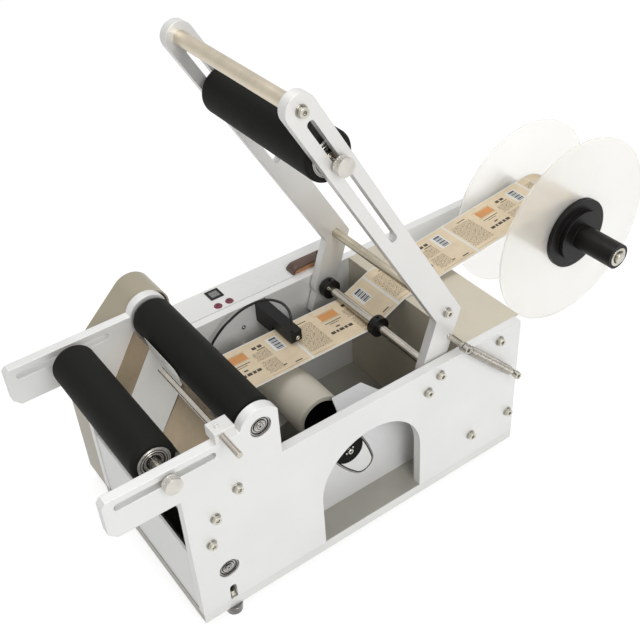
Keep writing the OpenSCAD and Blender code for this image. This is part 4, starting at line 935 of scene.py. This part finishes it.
hood = Shape()
rows = []
for k in range(41):
    x = SWITCH_X0 + (SWITCH_X1 - SWITCH_X0) * (k / 40) ** 1.6
    top, low = hood_top(x), min(hood_edge(x), hood_top(x) - 1.0)
    rows.append([(x, SWITCH_Y0, low), (x, SWITCH_Y0, top - 0.8), (x, SWITCH_Y0 + 0.8, top),
                 (x, SWITCH_Y1 - 1.2, top), (x, SWITCH_Y1, top - 1.2),
                 (x, SWITCH_Y1, 202.05), (x, SWITCH_Y1 - 0.25, 202.05), (x, SWITCH_Y1 - 0.25, top - 1.4),
                 (x, SWITCH_Y1 - 1.4, top - 0.3),
                 (x, SWITCH_Y0 + 0.9, top - 0.3), (x, SWITCH_Y0 + 0.25, top - 1.0),
                 (x, SWITCH_Y0 + 0.25, low)])
grid = hood.sheet(rows, True)
hood.cap(grid[0])
hood.cap(grid[-1], True)
hood.block((SWITCH_X0 - 0.25, SWITCH_Y0, 202.05), (SWITCH_X0 + 0.05, SWITCH_Y1, 206.9), 0.1)
hood.piece("switch_hood", "frame", "brown_plastic", dark_brown)

# Small screw on the far plate's inner face
FAR_SCREW = (225.7, 168.8)
far_screw = Shape()
far_screw.turned(FAR_SCREW, [(0.02, 245.02), (1.9, 245.02), (1.9, 243.9), (1.3, 243.5), (0.02, 243.5)], 40)
far_screw.material = 1
far_screw.turned(FAR_SCREW, [(1.95, 245.02), (3.0, 245.02), (2.9, 244.3), (1.95, 244.2)], 40)
far_screw.piece("far_screw", "frame", "bright_steel", screw_steel, groove_black)

# Far collar's set screw ring, the sleeve on the spring's stud and the pad under the far arm's tail
PIVOT = (349.3, 186.7)
ring = Shape()
ring.turned((PIVOT[0] - 6.0, PIVOT[1] + 5.2), [(1.3, 217.02), (2.3, 217.02), (2.2, 216.6), (1.4, 216.6)], 32)
ring.piece("collar_ring", "far_collar", "bright_steel", screw_steel)
STUD_SLEEVE = [(2.5, 13.95), (3.6, 13.95), (3.6, 12.4), (3.0, 12.0), (3.0, -6.6), (4.2, -7.0), (4.2, -8.8),
               (3.8, -9.2), (2.5, -9.2)]
sleeve = Shape()
sleeve.turned((STUD.x, STUD.y), STUD_SLEEVE, 40)
sleeve.piece("stud_sleeve", "press_frame", "bright_steel", steel)
TAIL_END = Vector((336.4, 148.8))
pad = Shape()
pad.turned((TAIL_END.x - 6.0, TAIL_END.y + 1.2), [(0.02, 231.6), (4.0, 231.6), (4.6, 232.2), (4.6, 241.8),
                                                  (4.0, 242.4), (0.02, 242.4)], 32)
pad.piece("tail_pad", "press_frame", "black_plastic", rubber)

# Bright ring and bolt at the end of the reel's grip
ring = Shape()
ring.turned(REEL, [(9.0, 26.02), (13.5, 26.02), (13.5, 25.2), (12.6, 24.6), (9.6, 24.6), (9.0, 25.2)], 64)
ring.piece("grip_ring", "reel_cheek", "bright_steel", screw_steel)
bolt = Shape()
bolt.turned(REEL, [(0.02, 22.02), (7.6, 22.02), (7.2, 21.0), (5.5, 20.4), (0.02, 20.2)], 48)
bolt.piece("shaft_bolt", "frame", "bright_steel", screw_steel)

# Light
world = bpy.data.worlds.new("studio")
bpy.context.scene.world = world
world.use_nodes = True
tree = world.node_tree
tree.nodes.clear()
sky = tree.nodes.new("ShaderNodeBackground")
sky.inputs["Strength"].default_value = 0.42
plain = tree.nodes.new("ShaderNodeBackground")
plain.inputs["Strength"].default_value = 1.0
path = tree.nodes.new("ShaderNodeLightPath")
seen = tree.nodes.new("ShaderNodeMath")
seen.operation = "MAXIMUM"
tree.links.new(path.outputs["Is Camera Ray"], seen.inputs[0])
shiny = tree.nodes.new("ShaderNodeMath")
shiny.operation = "MAXIMUM"
tree.links.new(path.outputs["Is Glossy Ray"], shiny.inputs[0])
tree.links.new(path.outputs["Is Transmission Ray"], shiny.inputs[1])
tree.links.new(shiny.outputs[0], seen.inputs[1])
pick = tree.nodes.new("ShaderNodeMixShader")
tree.links.new(seen.outputs[0], pick.inputs[0])
tree.links.new(sky.outputs[0], pick.inputs[1])
tree.links.new(plain.outputs[0], pick.inputs[2])
world_out = tree.nodes.new("ShaderNodeOutputWorld")
tree.links.new(pick.outputs[0], world_out.inputs["Surface"])


def lamp(name, at, to, size, power):
    data = bpy.data.lights.new(name, "AREA")
    data.shape = "DISK"
    data.size = size
    data.energy = power
    made = bpy.data.objects.new(name, data)
    bpy.context.scene.collection.objects.link(made)
    made.location = at
    made.rotation_euler = (Vector(to) - Vector(at)).to_track_quat("-Z", "Y").to_euler()


lamp("key", (-0.4, -2.3, 1.7), (0.0, 0.0, 0.2), 1.6, 38)
lamp("top", (-0.2, 0.3, 2.4), (0.0, 0.0, 0.2), 1.8, 23)

# Floor: white where it is seen, with the object's soft shadow on it
floor_look = Nodes("floor_white")
floor_tree = floor_look.tree
floor_look.shader.inputs["Roughness"].default_value = 0.9
tint = floor_look.blend(floor_look.span(floor_look.noise(2.0), 0.3, 0.7), (0.42, 0.42, 0.42),
                        (0.44, 0.44, 0.44))
floor_look.join(tint, floor_look.shader.inputs["Base Color"])
glow = floor_look.add("ShaderNodeEmission")
glow.inputs["Strength"].default_value = 0.74
ray = floor_look.add("ShaderNodeLightPath")
bounced = floor_look.math("MAXIMUM", ray.outputs["Is Glossy Ray"], ray.outputs["Is Transmission Ray"])
visible = floor_look.math("MAXIMUM", ray.outputs["Is Camera Ray"], bounced)
none = floor_look.add("ShaderNodeEmission")
none.inputs["Strength"].default_value = 0.25
chosen = floor_look.add("ShaderNodeMixShader")
floor_look.join(visible, chosen.inputs[0])
floor_look.join(none.outputs[0], chosen.inputs[1])
floor_look.join(glow.outputs[0], chosen.inputs[2])
total = floor_look.add("ShaderNodeAddShader")
floor_look.join(floor_look.shader.outputs["BSDF"], total.inputs[0])
floor_look.join(chosen.outputs[0], total.inputs[1])
floor_look.join(total.outputs[0],
                next(n for n in floor_tree.nodes if n.type == "OUTPUT_MATERIAL").inputs["Surface"])
FLOOR_HALF = 14.0
floor_mesh = bpy.data.meshes.new("floor")
floor_mesh.from_pydata([(-FLOOR_HALF, -FLOOR_HALF, 0), (FLOOR_HALF, -FLOOR_HALF, 0), (FLOOR_HALF, FLOOR_HALF,
                                                                                      0),
                        (-FLOOR_HALF, FLOOR_HALF, 0)], [], [(0, 1, 2, 3)])
floor_mesh.materials.append(floor_look.material)
floor = bpy.data.objects.new("floor", floor_mesh)
bpy.context.scene.collection.objects.link(floor)

bpy.context.scene.view_settings.view_transform = "Standard"
